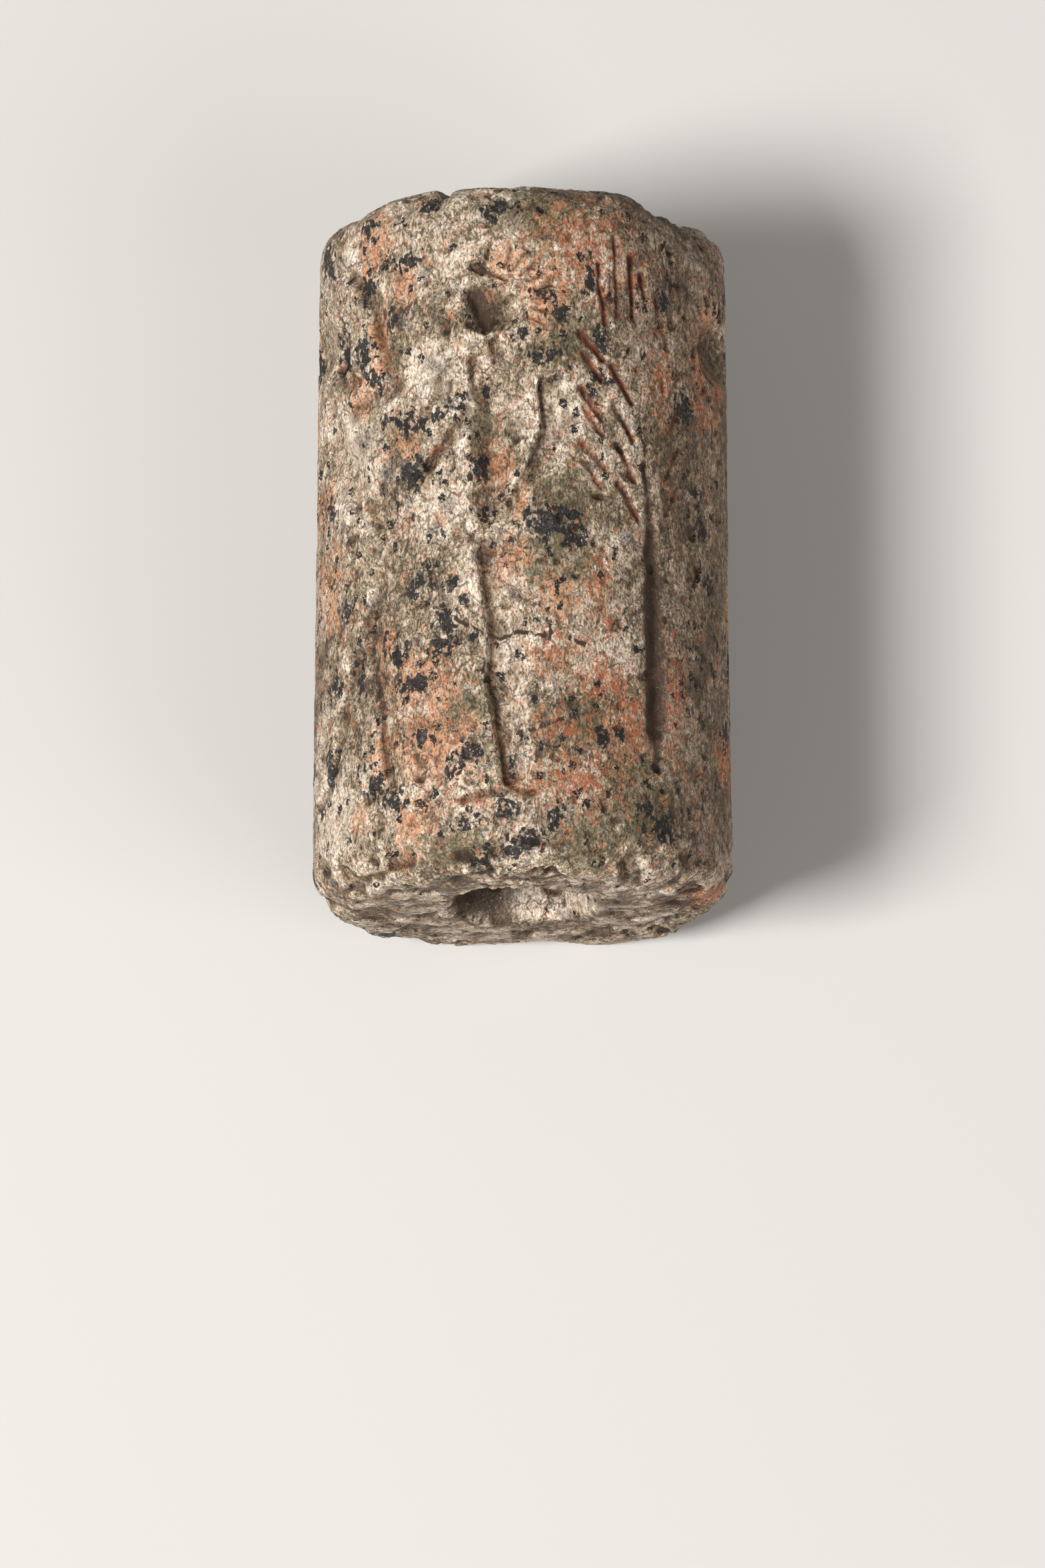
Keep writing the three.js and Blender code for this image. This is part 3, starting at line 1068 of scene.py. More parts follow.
SALMON_PATCHES = patches(
    (-8.3, 2.9, 1.3, 2.0), (-6.4, 5.0, 1.0, 1.1), (-7.9, 7.5, 0.8, 2.6), (-9.3, 10.3, 1.2, 1.4),
    (-1.3, 14.6, 0.9, 1.5), (-6.2, 13.2, 1.0, 1.1), (-7.2, 23.0, 1.0, 1.3), (-5.2, 25.4, 2.4, 2.2),
    (-4.5, 28.4, 2.6, 2.4), (-5.5, 32.3, 1.3, 1.6), (-9.0, 31.7, 0.7, 0.9), (-7.6, 28.6, 0.7, 1.6),
    (-6.2, 33.9, 0.9, 0.4), (-0.8, 19.4, 1.3, 1.5), (-0.7, 4.4, 1.2, 1.4), (1.2, 6.0, 1.3, 2.4),
    (1.8, 21.0, 1.4, 1.4), (-0.2, 16.0, 0.6, 1.2), (-0.4, 30.6, 1.0, 0.6),
)

RED_PATCHES = patches(
    (3.9, 20.4, 1.0, 1.9), (4.3, 22.3, 0.8, 1.5), (4.1, 25.4, 1.9, 2.6), (1.4, 23.9, 1.6, 1.6),
    (2.0, 27.6, 1.9, 1.0), (2.6, 30.2, 2.9, 1.9), (5.4, 27.2, 2.2, 3.0), (3.2, 3.2, 2.6, 3.2),
    (8.2, 25.8, 1.2, 4.0), (10.6, 9.0, 1.4, 3.6), (7.6, 9.6, 1.0, 3.2), (-2.3, 31.3, 1.5, 0.5),
    (-3.0, 28.0, 0.7, 0.8),
)

OLIVE_PATCHES = patches(
    (1.0, 1.8, 3.6, 2.0), (2.3, 8.2, 2.0, 2.0), (2.4, 16.0, 1.9, 1.8), (2.0, 19.4, 2.6, 2.0),
    (-2.7, 26.6, 1.8, 1.3), (-3.4, 33.6, 2.4, 1.0), (2.9, 33.0, 3.4, 1.8), (5.9, 30.8, 2.6, 2.8),
    (-6.9, 8.5, 1.2, 1.4), (3.2, 27.6, 1.4, 2.0), (-2.2, 12.6, 1.0, 2.4), (0.5, 14.4, 0.5, 1.3),
)

# Pale feldspar, and painted light on the lit right walls of the front standing figure's arms and legs and
# beside an awn of the front ear.
PALE_AND_LIT_PATCHES = patches(
    (2.0, 11.9, 1.5, 2.3), (0.7, 14.2, 0.8, 1.1), (-0.3, 15.7, 0.8, 1.1), (-3.2, 13.1, 0.6, 0.9),
    (-4.1, 14.2, 0.6, 0.9), (-1.0, 22.4, 1.3, 3.8), (-0.5, 26.8, 1.1, 3.4), (-0.1, 29.4, 0.8, 1.5),
    (-9.8, 14.0, 3.2, 3.4), (-4.4, 9.4, 2.0, 2.0), (-0.4, 3.6, 1.2, 2.0), (-4.4, 16.8, 2.2, 2.2),
    (-7.4, 27.8, 0.6, 2.0), (-10.0, 3.2, 1.4, 2.0), (5.4, 4.2, 0.35, 0.9), (-11.4, 31.5, 2.6, 2.6),
)

# Browner ground; the large patch over the right flank is also painted shade.
BROWN_AND_SHADE_PATCHES = patches(
    (14.0, 19.0, 9.5, 30.0), (8.0, 4.0, 5.0, 9.0),
)

CRACKS: tuple[tuple[Place, ...], ...] = (
    (
        (-3.5, 22.1), (-2.7, 22.6), (-2.0, 23.0), (-1.2, 23.2), (-0.2, 22.9),
        (0.6, 23.1), (1.5, 23.3), (2.2, 23.2), (3.3, 23.6),
    ),
    ((1.5, 23.3), (1.3, 22.8), (1.2, 22.3)),
    ((-0.3, 28.0), (0.6, 27.8), (1.5, 27.4), (2.2, 27.2), (2.9, 27.1)),
    ((14.0, 20.2), (15.6, 20.9), (17.4, 20.6), (19.0, 21.3)),
    ((-22.0, 14.6), (-20.6, 15.4), (-19.4, 15.2), (-17.9, 15.9)),
)

MINERALS: dict[str, tuple[tuple[Patch, ...], int, Widths]] = {
    "black": (BLACK_CRYSTALS, 95, (0.4, 1.3)),
    "salmon": (SALMON_PATCHES, 34, (0.8, 2.2)),
    "red": (RED_PATCHES, 14, (0.9, 2.4)),
    "olive": (OLIVE_PATCHES, 22, (1.2, 3.0)),
    "pale": (PALE_AND_LIT_PATCHES, 22, (1.4, 3.4)),
    "brown": (BROWN_AND_SHADE_PATCHES, 6, (4.0, 9.0)),
}


class Speckling:
    """Where the stone's minerals, stains, cracks, and some painted light and shade are, as numbers on the
    mesh's points.

    Attributes:
        FRONT: How far round to each side the named patches reach.
        CRACK_WIDTH: How far from a crack its darkening reaches, in mm.
    """

    FRONT = 11.5
    CRACK_WIDTH = 0.32

    def __init__(self, form: SealForm, seed: int) -> None:
        """Scatters further patches where the named ones don't reach.

        Args:
            form: The seal.
            seed: Picks their places.
        """
        self.form = form
        rng = np.random.default_rng(seed)
        self.patches: dict[str, list[Patch]] = {
            name: [*named, *self.scatter(rng, count, sizes)]
            for name, (named, count, sizes) in MINERALS.items()
        }

    def scatter(self, rng: np.random.Generator, count: int, sizes: Widths) -> list[Patch]:
        """Strews patches over the sides and the back.

        Args:
            rng: Where the numbers come from.
            count: How many.
            sizes: Least and greatest half size.

        Returns:
            The patches, none of them on the front.
        """
        around = rng.uniform(self.FRONT, self.form.girth - self.FRONT, count)
        down = rng.uniform(0.0, self.form.length, count)
        wide = rng.uniform(*sizes, count)
        tall = wide * rng.uniform(0.6, 1.3, count)
        return [Patch(*map(float, one)) for one in zip(around, down, wide, tall)]

    def crack(self, around: Array, down: Array) -> Array:
        """Works out how near each place is to a crack.

        Args:
            around: Places round the girth.
            down: Places down the seal.

        Returns:
            1 on a crack, falling to 0 on both sides.
        """
        near = np.zeros(around.shape)
        for path in CRACKS:
            for start, end in zip(path, path[1:]):
                line = Cut(start, end, (self.CRACK_WIDTH,) * 2, 1.0, CutShape.STROKE)
                near = np.maximum(near, line.depth_at(self.form, around, down))
        return near

    def fields(self, around: Array, down: Array) -> dict[str, Array]:
        """Gathers every mineral's nearness.

        Args:
            around: Places round the girth.
            down: Places down the seal.

        Returns:
            One array for each name that the finish reads.
        """
        found = {}
        for name, patches in self.patches.items():
            near = np.zeros(around.shape)
            for patch in patches:
                near = np.maximum(near, patch.nearness(self.form, around, down))
            found[name] = near
        found["crack"] = self.crack(around, down)
        return found


class Sketch:
    """A short hand for building a material's nodes."""

    def __init__(self, name: str) -> None:
        """Starts a material.

        Args:
            name: The material's name.
        """
        self.material = bpy.data.materials.new(name)
        self.material.use_nodes = True
        self.tree = self.material.node_tree
        self.tree.nodes.clear()

    def node(self, kind: str, **settings: object) -> bpy.types.Node:
        """Adds a node.

        Args:
            kind: Its type, without ShaderNode in front.
            **settings: Properties to set on it.

        Returns:
            The node.
        """
        made = self.tree.nodes.new("ShaderNode" + kind)
        for name, value in settings.items():
            setattr(made, name, value)
        return made

    def feed(self, socket: Socket, value: object) -> None:
        """Gives an input a number, a colour or another node's output.

        Args:
            socket: The input.
            value: What it gets.
        """
        if isinstance(value, Socket):
            self.tree.links.new(value, socket)
        else:
            socket.default_value = value

    def maths(self, operation: str, *values: object) -> Socket:
        """Does a sum.

        Args:
            operation: What to do, such as ADD.
            *values: One to three numbers or outputs.

        Returns:
            The result.
        """
        made = self.node("Math", operation=operation)
        for socket, value in zip(made.inputs, values):
            self.feed(socket, value)
        return made.outputs[0]

    def between(self, value: object, low: float, high: float) -> Socket:
        """Eases from 0 at low to 1 at high.

        Args:
            value: The number or output to read.
            low: Where the result is 0.
            high: Where the result is 1.

        Returns:
            The eased share.
        """
        made = self.node("MapRange", interpolation_type="SMOOTHSTEP")
        self.feed(made.inputs["Value"], value)
        made.inputs["From Min"].default_value = low
        made.inputs["From Max"].default_value = high
        return made.outputs["Result"]

    def millimetres(self, stretch: tuple[float, float, float] = (1.0, 1.0, 1.0)) -> Socket:
        """Gives the place on the object in millimetres.

        Args:
            stretch: Numbers to multiply x, y and z by.

        Returns:
            The place as a vector.
        """
        place = self.node("TexCoord").outputs["Object"]
        made = self.node("VectorMath", operation="MULTIPLY")
        self.feed(made.inputs[0], place)
        made.inputs[1].default_value = tuple(1 / MM * share for share in stretch)
        return made.outputs[0]

    def noise(self, place: object, size: float, detail: float = 3.0, bend: float = 0.0) -> bpy.types.Node:
        """Adds noise.

        Args:
            place: Where to read it, in mm.
            size: Size of its lumps, in mm.
            detail: How many finer layers it has.
            bend: How much it is bent by itself.

        Returns:
            The noise node.
        """
        made = self.node("TexNoise")
        self.feed(made.inputs["Vector"], place)
        made.inputs["Scale"].default_value = 1.0 / size
        made.inputs["Detail"].default_value = detail
        made.inputs["Roughness"].default_value = 0.6
        made.inputs["Distortion"].default_value = bend
        return made

    def cells(self, place: object, size: float, feature: str = "F1") -> bpy.types.Node:
        """Adds a pattern of crystal-like cells.

        Args:
            place: Where to read it, in mm.
            size: Size of a cell, in mm.
            feature: F1, or DISTANCE_TO_EDGE.

        Returns:
            The cell node.
        """
        made = self.node("TexVoronoi", feature=feature)
        self.feed(made.inputs["Vector"], place)
        made.inputs["Scale"].default_value = 1.0 / size
        return made

    def bent(self, place: object, size: float, reach: float) -> Socket:
        """Moves places about, so that cells get ragged edges.

        Args:
            place: The place to move, in mm.
            size: Size of the bends, in mm.
            reach: How far it moves, in mm.

        Returns:
            The moved place.
        """
        wave = self.noise(place, size, 2.0).outputs["Color"]
        made = self.node("VectorMath", operation="MULTIPLY_ADD")
        self.feed(made.inputs[0], wave)
        made.inputs[1].default_value = (2 * reach,) * 3
        self.feed(made.inputs[2], place)
        return made.outputs[0]

    def mix(self, share: object, first: object, second: object, blend: str = "MIX") -> Socket:
        """Mixes two colours.

        Args:
            share: How much of the second.
            first: The first colour.
            second: The second colour.
            blend: How they mix.

        Returns:
            The mixed colour.
        """
        made = self.node("Mix", data_type="RGBA", blend_type=blend)
        first_colour, second_colour, mixed_colour = 6, 7, 2
        self.feed(made.inputs[0], share)
        self.feed(made.inputs[first_colour], first)
        self.feed(made.inputs[second_colour], second)
        return made.outputs[mixed_colour]

    def laid(self, under: object, share: object, strength: object, over: object) -> Socket:
        """Lays the colour over on the colour under, by share times strength."""
        return self.mix(self.maths("MULTIPLY", share, strength), under, over)

    def ramp(self, value: object, stops: list[tuple[float, Tint]]) -> Socket:
        """Turns a number into a colour.

        Args:
            value: The number.
            stops: Places from 0 to 1 and their colours.

        Returns:
            The colour.
        """
        made = self.node("ValToRGB")
        self.feed(made.inputs[0], value)
        elements = made.color_ramp.elements
        while len(elements) < len(stops):
            elements.new(0.5)
        for element, (place, colour) in zip(elements, stops):
            element.position = place
            element.color = colour
        return made.outputs[0]

    def field(self, name: str) -> Socket:
        """Reads the numbers stored on the mesh's points under a name."""
        return self.node("Attribute", attribute_name=name).outputs["Fac"]


@dataclass(frozen=True)
class SpeckledStone:
    """The finish of the seal: a worn coarse-grained rock of many minerals.

    Attributes:
        cream: Clean feldspar.
        bone: Worn feldspar.
        tan: The common ground colour.
        drab: Dull grey-brown ground.
        umber: The darkest ground.
        salmon: Pink feldspar.
        orange: Rust in it.
        olive: Green alteration.
        brown: A browner ground, also used as painted shade over the right flank.
        slate: Blue-grey grains, and the painted glint in the black crystals.
        black: Dark crystals.
        red: Red residue and iron stains.
        dirt_and_shade: Old dirt in the corners of cuts, also laid as painted shade in the head's hollow and
            the bore's mouth.
    """

    cream: Tint = tint(241, 230, 217)
    bone: Tint = tint(220, 205, 189)
    tan: Tint = tint(187, 172, 151)
    drab: Tint = tint(142, 130, 110)
    umber: Tint = tint(92, 80, 67)
    salmon: Tint = tint(230, 186, 156)
    orange: Tint = tint(218, 148, 104)
    olive: Tint = tint(118, 113, 84)
    brown: Tint = tint(136, 110, 92)
    slate: Tint = tint(104, 103, 108)
    black: Tint = tint(24, 23, 24)
    red: Tint = tint(176, 84, 50)
    dirt_and_shade: Tint = tint(60, 44, 33)

    def crystals(self, art: Sketch, size: float, bend: float, stretch: float = 1.0) -> bpy.types.Node:
        """Gives each ragged crystal of a size its own three random numbers.

        Args:
            art: The material being built.
            size: Size of a crystal, in mm.
            bend: How far its edges wander, in mm.
            stretch: Below 1, crystals are longer along the seal.

        Returns:
            A node with the numbers as Red, Green and Blue.
        """
        place = art.bent(art.millimetres((1.0, stretch, 1.0)), 2.0 * bend, bend)
        pick = art.node("SeparateColor")
        art.feed(pick.inputs[0], art.cells(place, size).outputs["Color"])
        return pick

    def ground(self, art: Sketch, hairs: object) -> Socket:
        """Mixes the common minerals.

        Args:
            art: The material being built.
            hairs: The long fine grain.

        Returns:
            The ground colour.
        """
        cloud = art.noise(art.millimetres(), 3.9, 3.0).outputs["Fac"]
        large = self.crystals(art, 0.75, 0.25).outputs[0]
        small = self.crystals(art, 0.22, 0.09, 0.6).outputs[1]
        mixed = art.maths("MULTIPLY_ADD", large, 0.17, art.maths("MULTIPLY_ADD", cloud, 1.0, -0.19))
        mixed = art.maths("MULTIPLY_ADD", small, 0.27, mixed)
        mixed = art.maths("MULTIPLY_ADD", hairs, 0.5, mixed)
        # The pale field lightens the ground, in places as painted light on lit walls; the brown field
        # darkens it, over the right flank as painted shade.
        for name, shift in (("pale", 0.27), ("olive", -0.1), ("brown", -0.13)):
            near = art.between(art.field(name), 0.0, 0.6)
            mixed = art.maths("MULTIPLY_ADD", near, shift, mixed)
        stops = [
            (0.5, self.umber),
            (0.64, self.drab),
            (0.76, self.tan),
            (0.88, self.bone),
            (1.0, self.cream),
        ]
        return art.ramp(mixed, stops)

    def patch(
        self, art: Sketch, name: str, size: float, reach: float, level: float
    ) -> Socket:
        """Turns a mineral's nearness into a patch with crystal edges.

        Args:
            art: The material being built.
            name: The mineral's field.
            size: Size of the crystals at its edge, in mm.
            reach: How ragged its edge is, 0 to 1.
            level: Nearness where it starts.

        Returns:
            1 inside the patch and 0 outside.
        """
        pick = self.crystals(art, size, 0.4 * size, 0.7)
        ragged = art.maths("MULTIPLY_ADD", pick.outputs[1], reach, -reach / 2)
        near = art.field(name)
        on = art.maths("GREATER_THAN", near, 0.001)
        value = art.maths("MULTIPLY", on, art.maths("ADD", near, ragged))
        soft = 0.05
        return art.between(value, level - soft, level + soft)

    def stained(self, art: Sketch, colour: object, hairs: object, grains: object) -> Socket:
        """Lays the softer colours over the ground.

        Args:
            art: The material being built.
            colour: The ground.
            hairs: The long fine grain.
            grains: The short fine grain.

        Returns:
            The stained ground.
        """
        place = art.millimetres()
        streaks = art.between(hairs, 0.36, 0.56)

        def lay(share: object, strength: float, over: Tint) -> None:
            """Lays one more colour on."""
            nonlocal colour
            colour = art.laid(colour, share, strength, over)

        green, rusty, cold = (
            art.noise(art.millimetres(stretch), size, 4.0, 0.4).outputs["Fac"]
            for stretch, size in (((1.0, 0.8, 1.0), 1.6), ((1.0, 0.7, 1.02), 0.75), ((1.03, 0.8, 1.0), 1.0))
        )
        lay(art.between(green, 0.52, 0.66), 0.42, self.olive)
        lay(art.between(cold, 0.56, 0.66), 0.5, self.slate)
        lay(self.patch(art, "olive", 0.3, 0.7, 0.25), 0.55, self.olive)
        # Brown tone, which over the right flank is painted shade.
        lay(art.between(art.field("brown"), 0.0, 0.5), 0.36, self.brown)
        lay(self.patch(art, "salmon", 0.36, 1.2, 0.38), 0.56, self.salmon)
        pink = self.patch(art, "salmon", 0.26, 1.1, 0.5)
        lay(art.maths("MULTIPLY", pink, streaks), 0.6, self.orange)
        lay(art.maths("MULTIPLY", art.between(rusty, 0.58, 0.64), streaks), 0.55, self.orange)
        seams = art.cells(art.bent(place, 0.5, 0.24), 0.85, "DISTANCE_TO_EDGE").outputs[0]
        some = art.between(art.noise(place, 1.1, 2.0).outputs["Fac"], 0.44, 0.56)
        lay(art.maths("MULTIPLY", art.between(seams, 0.07, 0.02), some), 0.72, self.umber)
        rust = self.patch(art, "red", 0.3, 1.2, 0.36)
        lay(art.maths("MULTIPLY", rust, art.between(grains, 0.4, 0.56)), 0.5, self.orange)
        darker = art.between(art.noise(place, 0.34, 3.0, 0.5).outputs["Fac"], 0.43, 0.33)
        lay(art.maths("MULTIPLY", darker, art.between(grains, 0.62, 0.45)), 0.75, self.umber)
        return colour

    def blackened(self, art: Sketch, colour: object, hairs: object, grains: object) -> Socket:
        """Adds the black specks and the larger black crystals, broken and with painted glints.

        Args:
            art: The material being built.
            colour: The stained ground.
            hairs: The long fine grain.
            grains: The short fine grain.

        Returns:
            The colour with its dark crystals.
        """
        pick = self.crystals(art, 0.3, 0.14, 0.8)
        flecked = art.maths("MULTIPLY_ADD", art.field("salmon"), 0.06, pick.outputs[2])
        speck = art.maths("GREATER_THAN", flecked, 0.955)
        colour = art.laid(colour, speck, art.between(grains, 0.62, 0.5), self.black)
        broken = art.between(art.maths("MULTIPLY_ADD", hairs, -0.9, 0.86), 0.2, 0.32)
        black = art.maths("MULTIPLY", self.patch(art, "black", 0.24, 0.8, 0.32), broken)
        # Painted glint: slate-coloured flecks in the larger black crystals.
        glint = art.maths("GREATER_THAN", pick.outputs[0], 0.7)
        glint = art.maths("MULTIPLY", glint, art.between(grains, 0.46, 0.62))
        dark = art.laid(self.black, glint, 0.5, self.slate)
        dark = art.mix(art.between(hairs, 0.62, 0.72), dark, self.drab)
        return art.laid(colour, black, 0.96, dark)

    def soiled(self, art: Sketch, colour: object, grains: object, dashes: object) -> Socket:
        """Adds red residue, paler ridges and painted shade in the hollows, old dirt, painted shade in the
        head's hollow and the bore's mouth, and cracks.

        Args:
            art: The material being built.
            colour: The clean stone.
            grains: The short fine grain.
            dashes: Short streaks along the seal.

        Returns:
            The colour of the worn stone, with its painted shade.
        """
        ochre = art.maths("MULTIPLY", art.field("ochre"), art.between(dashes, 0.38, 0.5))
        part = art.between(art.noise(art.millimetres(), 0.7, 2.0).outputs["Fac"], 0.34, 0.52)
        colour = art.laid(colour, ochre, 0.85, art.mix(part, self.dirt_and_shade, self.red))
        # Painted shade: darker in hollows and corners and paler on ridges, read from the hollow field.
        worn = [
            (0.2, tint(255, 252, 248)),
            (0.42, tint(240, 236, 231)),
            (0.62, tint(202, 193, 182)),
            (0.9, tint(132, 112, 94)),
        ]
        colour = art.mix(1.0, colour, art.ramp(art.field("hollow"), worn), "MULTIPLY")
        # Dirt, with the painted shade of the head's hollow and the bore's mouth.
        dirt_and_shade = art.maths("MULTIPLY", art.field("dirt_and_shade"), art.between(grains, 0.76, 0.56))
        colour = art.laid(colour, dirt_and_shade, 0.9, self.dirt_and_shade)
        crack = art.maths("ADD", art.field("crack"), art.maths("MULTIPLY_ADD", grains, 0.4, -0.2))
        return art.mix(art.between(crack, 0.58, 0.72), colour, self.dirt_and_shade)

    def height(self, art: Sketch, hairs: object, grains: object) -> Socket:
        """Works out the fine height of the surface.

        Args:
            art: The material being built.
            hairs: The long fine grain.
            grains: The short fine grain.

        Returns:
            A height from about 0 to 1.
        """
        pits = art.noise(art.millimetres(), 0.3, 4.0, 0.4).outputs["Fac"]
        sunk = art.maths("MULTIPLY", art.between(pits, 0.42, 0.3), -0.6)
        fine = art.maths("MULTIPLY_ADD", hairs, 1.0, sunk)
        return art.maths("MULTIPLY_ADD", grains, 0.7, fine)

    def material(self) -> bpy.types.Material:
        """Builds the material.

        Returns:
            The finished material.
        """
        art = Sketch("speckled_stone")
        place = art.millimetres()
        wavy = art.bent(art.millimetres((1.0, 0.55, 1.0)), 0.7, 0.24)
        hairs = art.noise(wavy, 0.1, 2.0, 0.6).outputs["Fac"]
        grains = art.noise(place, 0.13, 3.0, 0.6).outputs["Fac"]

        colour = self.stained(art, self.ground(art, hairs), hairs, grains)
        shades = [(0.33, tint(120, 112, 98)), (0.46, tint(205, 200, 192)), (0.58, tint(255, 254, 252))]
        colour = art.mix(0.9, colour, art.ramp(hairs, shades), "MULTIPLY")
        dashes = art.noise(art.millimetres((1.0, 0.7, 1.0)), 0.21, 3.0, 0.5).outputs["Fac"]
        iron = art.maths("MULTIPLY_ADD", art.field("red"), 0.14, dashes)
        colour = art.laid(colour, art.between(iron, 0.62, 0.68), 0.75, self.red)
        colour = self.blackened(art, colour, hairs, grains)
        colour = self.soiled(art, colour, grains, dashes)

        bump = art.node("Bump")
        bump.inputs["Strength"].default_value = 0.85
        bump.inputs["Distance"].default_value = 0.06 * MM
        art.feed(bump.inputs["Height"], self.height(art, hairs, grains))

        shader = art.node("BsdfPrincipled")
        art.feed(shader.inputs["Base Color"], colour)
        art.feed(shader.inputs["Roughness"], art.maths("MULTIPLY_ADD", grains, 0.25, 0.6))
        shader.inputs["Specular IOR Level"].default_value = 0.35
        art.feed(shader.inputs["Normal"], bump.outputs["Normal"])
        output = art.node("OutputMaterial")
        art.feed(output.inputs["Surface"], shader.outputs["BSDF"])
        return art.material


@dataclass
class Seal:
    """The seal itself: its form, what is carved into it, and its finish.

    Attributes:
        form: The plain form.
        finish: The stone.
        seed: Picks the stone's own pattern.
        most_triangles: The most that the finished mesh may have.
        front_ear: The ear of grain to the right of the front.
        back_ear: The one that the figures of the front turn their backs on.
    """

    form: SealForm
    finish: SpeckledStone = field(default_factory=SpeckledStone)
    seed: int = 7
    most_triangles: int = 194_000
    front_ear: EarOfGrain = EarOfGrain(7.0)
    back_ear: EarOfGrain = EarOfGrain(-24.7, top=6.2, rows=6, faint=0.154)

    def scene_cuts(self) -> list[Cut]:
        """Everything that the carver cut into the side."""
        figures = (
            FrontStandingFigure(),
            FrontStoopingFigure(),
            BackStandingFigure(),
            BackStoopingFigure(),
        )
        cuts = [cut for figure in figures for cut in figure.cuts()]
        return cuts + self.front_ear.cuts() + self.back_ear.cuts()

    def relief(self) -> Relief:
        """Carves and wears the whole surface."""
        relief = Relief(self.form, Grain(self.seed))
        relief.carve(self.scene_cuts())
        relief.knock(CHIPS)
        return relief

    def mesh(self, relief: Relief) -> bpy.types.Mesh:
        """Makes a closed mesh of the grid.

        Args:
            relief: The carved surface.

        Returns:
            The mesh, in metres.
        """
        rows, columns = relief.shape
        depth = relief.depth()
        points = relief.points_at(depth).reshape(-1, 3) * MM
        number = np.arange(rows * columns).reshape(rows, columns)
        right = np.roll(number, -1, axis=1)
        above = np.roll(number, -1, axis=0)
        above_right = np.roll(right, -1, axis=0)
        quads = np.stack((number, right, above_right, above), axis=-1).reshape(-1, 4)
        mesh = bpy.data.meshes.new("carved_stone")
        mesh.vertices.add(len(points))
        mesh.vertices.foreach_set("co", points.astype(np.float32).ravel())
        mesh.loops.add(quads.size)
        mesh.loops.foreach_set("vertex_index", quads.astype(np.int32).ravel())
        mesh.polygons.add(len(quads))
        mesh.polygons.foreach_set("loop_start", np.arange(0, quads.size, 4, dtype=np.int32))
        mesh.update(calc_edges=True)
        mesh.validate()
        # The hollow field drives the painted shade in the hollows and the paler ridges of the finish.
        hollow = mesh.attributes.new("hollow", "FLOAT", "POINT")
        hollow.data.foreach_set("value", relief.hollows(depth).astype(np.float32).ravel())
        return mesh

    def thin_out(self, piece: bpy.types.Object) -> None:
        """Drops triangles where the surface is plain, and shades the rest smooth.

        Args:
            piece: The carved stone.
        """
        triangles = 2 * len(piece.data.polygons)
        modifier = piece.modifiers.new("thin_out", "DECIMATE")
        modifier.ratio = min(1.0, self.most_triangles / triangles)
        modifier.use_collapse_triangulate = True
        bpy.context.view_layer.objects.active = piece
        bpy.ops.object.modifier_apply(modifier=modifier.name)
        piece.data.shade_smooth()

    def stain(self, mesh: bpy.types.Mesh) -> None:
        """Stores the minerals, residue, dirt, painted light and shade, and cracks on the mesh's points.

        Args:
            mesh: The finished mesh.
        """
        form = self.form
        place = np.empty(3 * len(mesh.vertices), np.float32)
        mesh.vertices.foreach_get("co", place)
        points = place.reshape(-1, 3).astype(float) / MM
        x, y, z = points.T
        off_axis = np.hypot(x, z - form.axis_height)
        around = np.arctan2(x, z - form.axis_height) * form.mean_radius
        down = form.length / 2 - y
        on_side = smooth(off_axis, form.upper_radius - 2.2, form.upper_radius - 1.2)
        fields = Speckling(form, self.seed + 1).fields(around, down)
        fields |= self.residue(around, down)
        fields = {name: values * on_side for name, values in fields.items()}

        # Painted shadow over the left of the bore's mouth, laid into the dirt field, and painted light on
        # its right wall, laid into the pale field.
        inside = smooth(form.length / 2 - np.abs(y), 0.0, 0.6) * (off_axis < form.mouth_radius + 2.6)
        shaded = smooth(-x, -0.1, 1.5)
        fields["dirt_and_shade"] += inside * shaded
        fields["pale"] += inside * (1.0 - shaded)
        ends = (1.0 - on_side) * (1.0 - inside)
        blotches = Grain(self.seed + 2).layered(points, 1.0, 4)
        fields["pale"] += ends * smooth(blotches, -0.04, 0.2)
        fields["brown"] += 0.3 * ends
        fields["dirt_and_shade"] += 0.65 * ends * smooth(-blotches, 0.05, 0.3)
        for name, values in fields.items():
            attribute = mesh.attributes.new(name, "FLOAT", "POINT")
            attribute.data.foreach_set("value", np.clip(values, 0.0, 1.0).astype(np.float32))

    def residue(self, around: Array, down: Array) -> dict[str, Array]:
        """Finds the old dirt and the red residue that lie in the cuts, and the painted shade in the head's
        hollows.

        Args:
            around: Places round the girth.
            down: Places down the seal.

        Returns:
            How much of each there is, under dirt, which holds the painted shade too, and ochre.
        """
        spread, filled = 1.35, 0.24
        stalks = [
            replace(cut, half_widths=(spread * cut.half_widths[0], spread * cut.half_widths[1]))
            for cut in self.front_ear.stalk() + self.back_ear.stalk()
        ]
        figure = FrontStandingFigure()
        deep, round_floor = figure.head()[:2]
        # Painted shade: the deep crescent of the front standing figure's head and, more faintly, its round
        # floor darken with their depth.
        dirt_and_shade = smooth(self.deepest([deep], around, down), 0.35, 0.9)
        dirt_and_shade = np.maximum(dirt_and_shade, 0.4 * smooth(self.deepest([round_floor], around, down), 0.3, 0.7))
        # Old dirt along the stalks.
        dirt_and_shade = np.maximum(dirt_and_shade, smooth(self.deepest(stalks, around, down), 0.02, 0.17))
        ochre = self.deepest(self.front_ear.awns() + self.front_ear.grains(), around, down) / filled
        ochre += 2.0 * self.deepest(figure.crimps(), around, down)
        return {"dirt_and_shade": dirt_and_shade, "ochre": ochre}

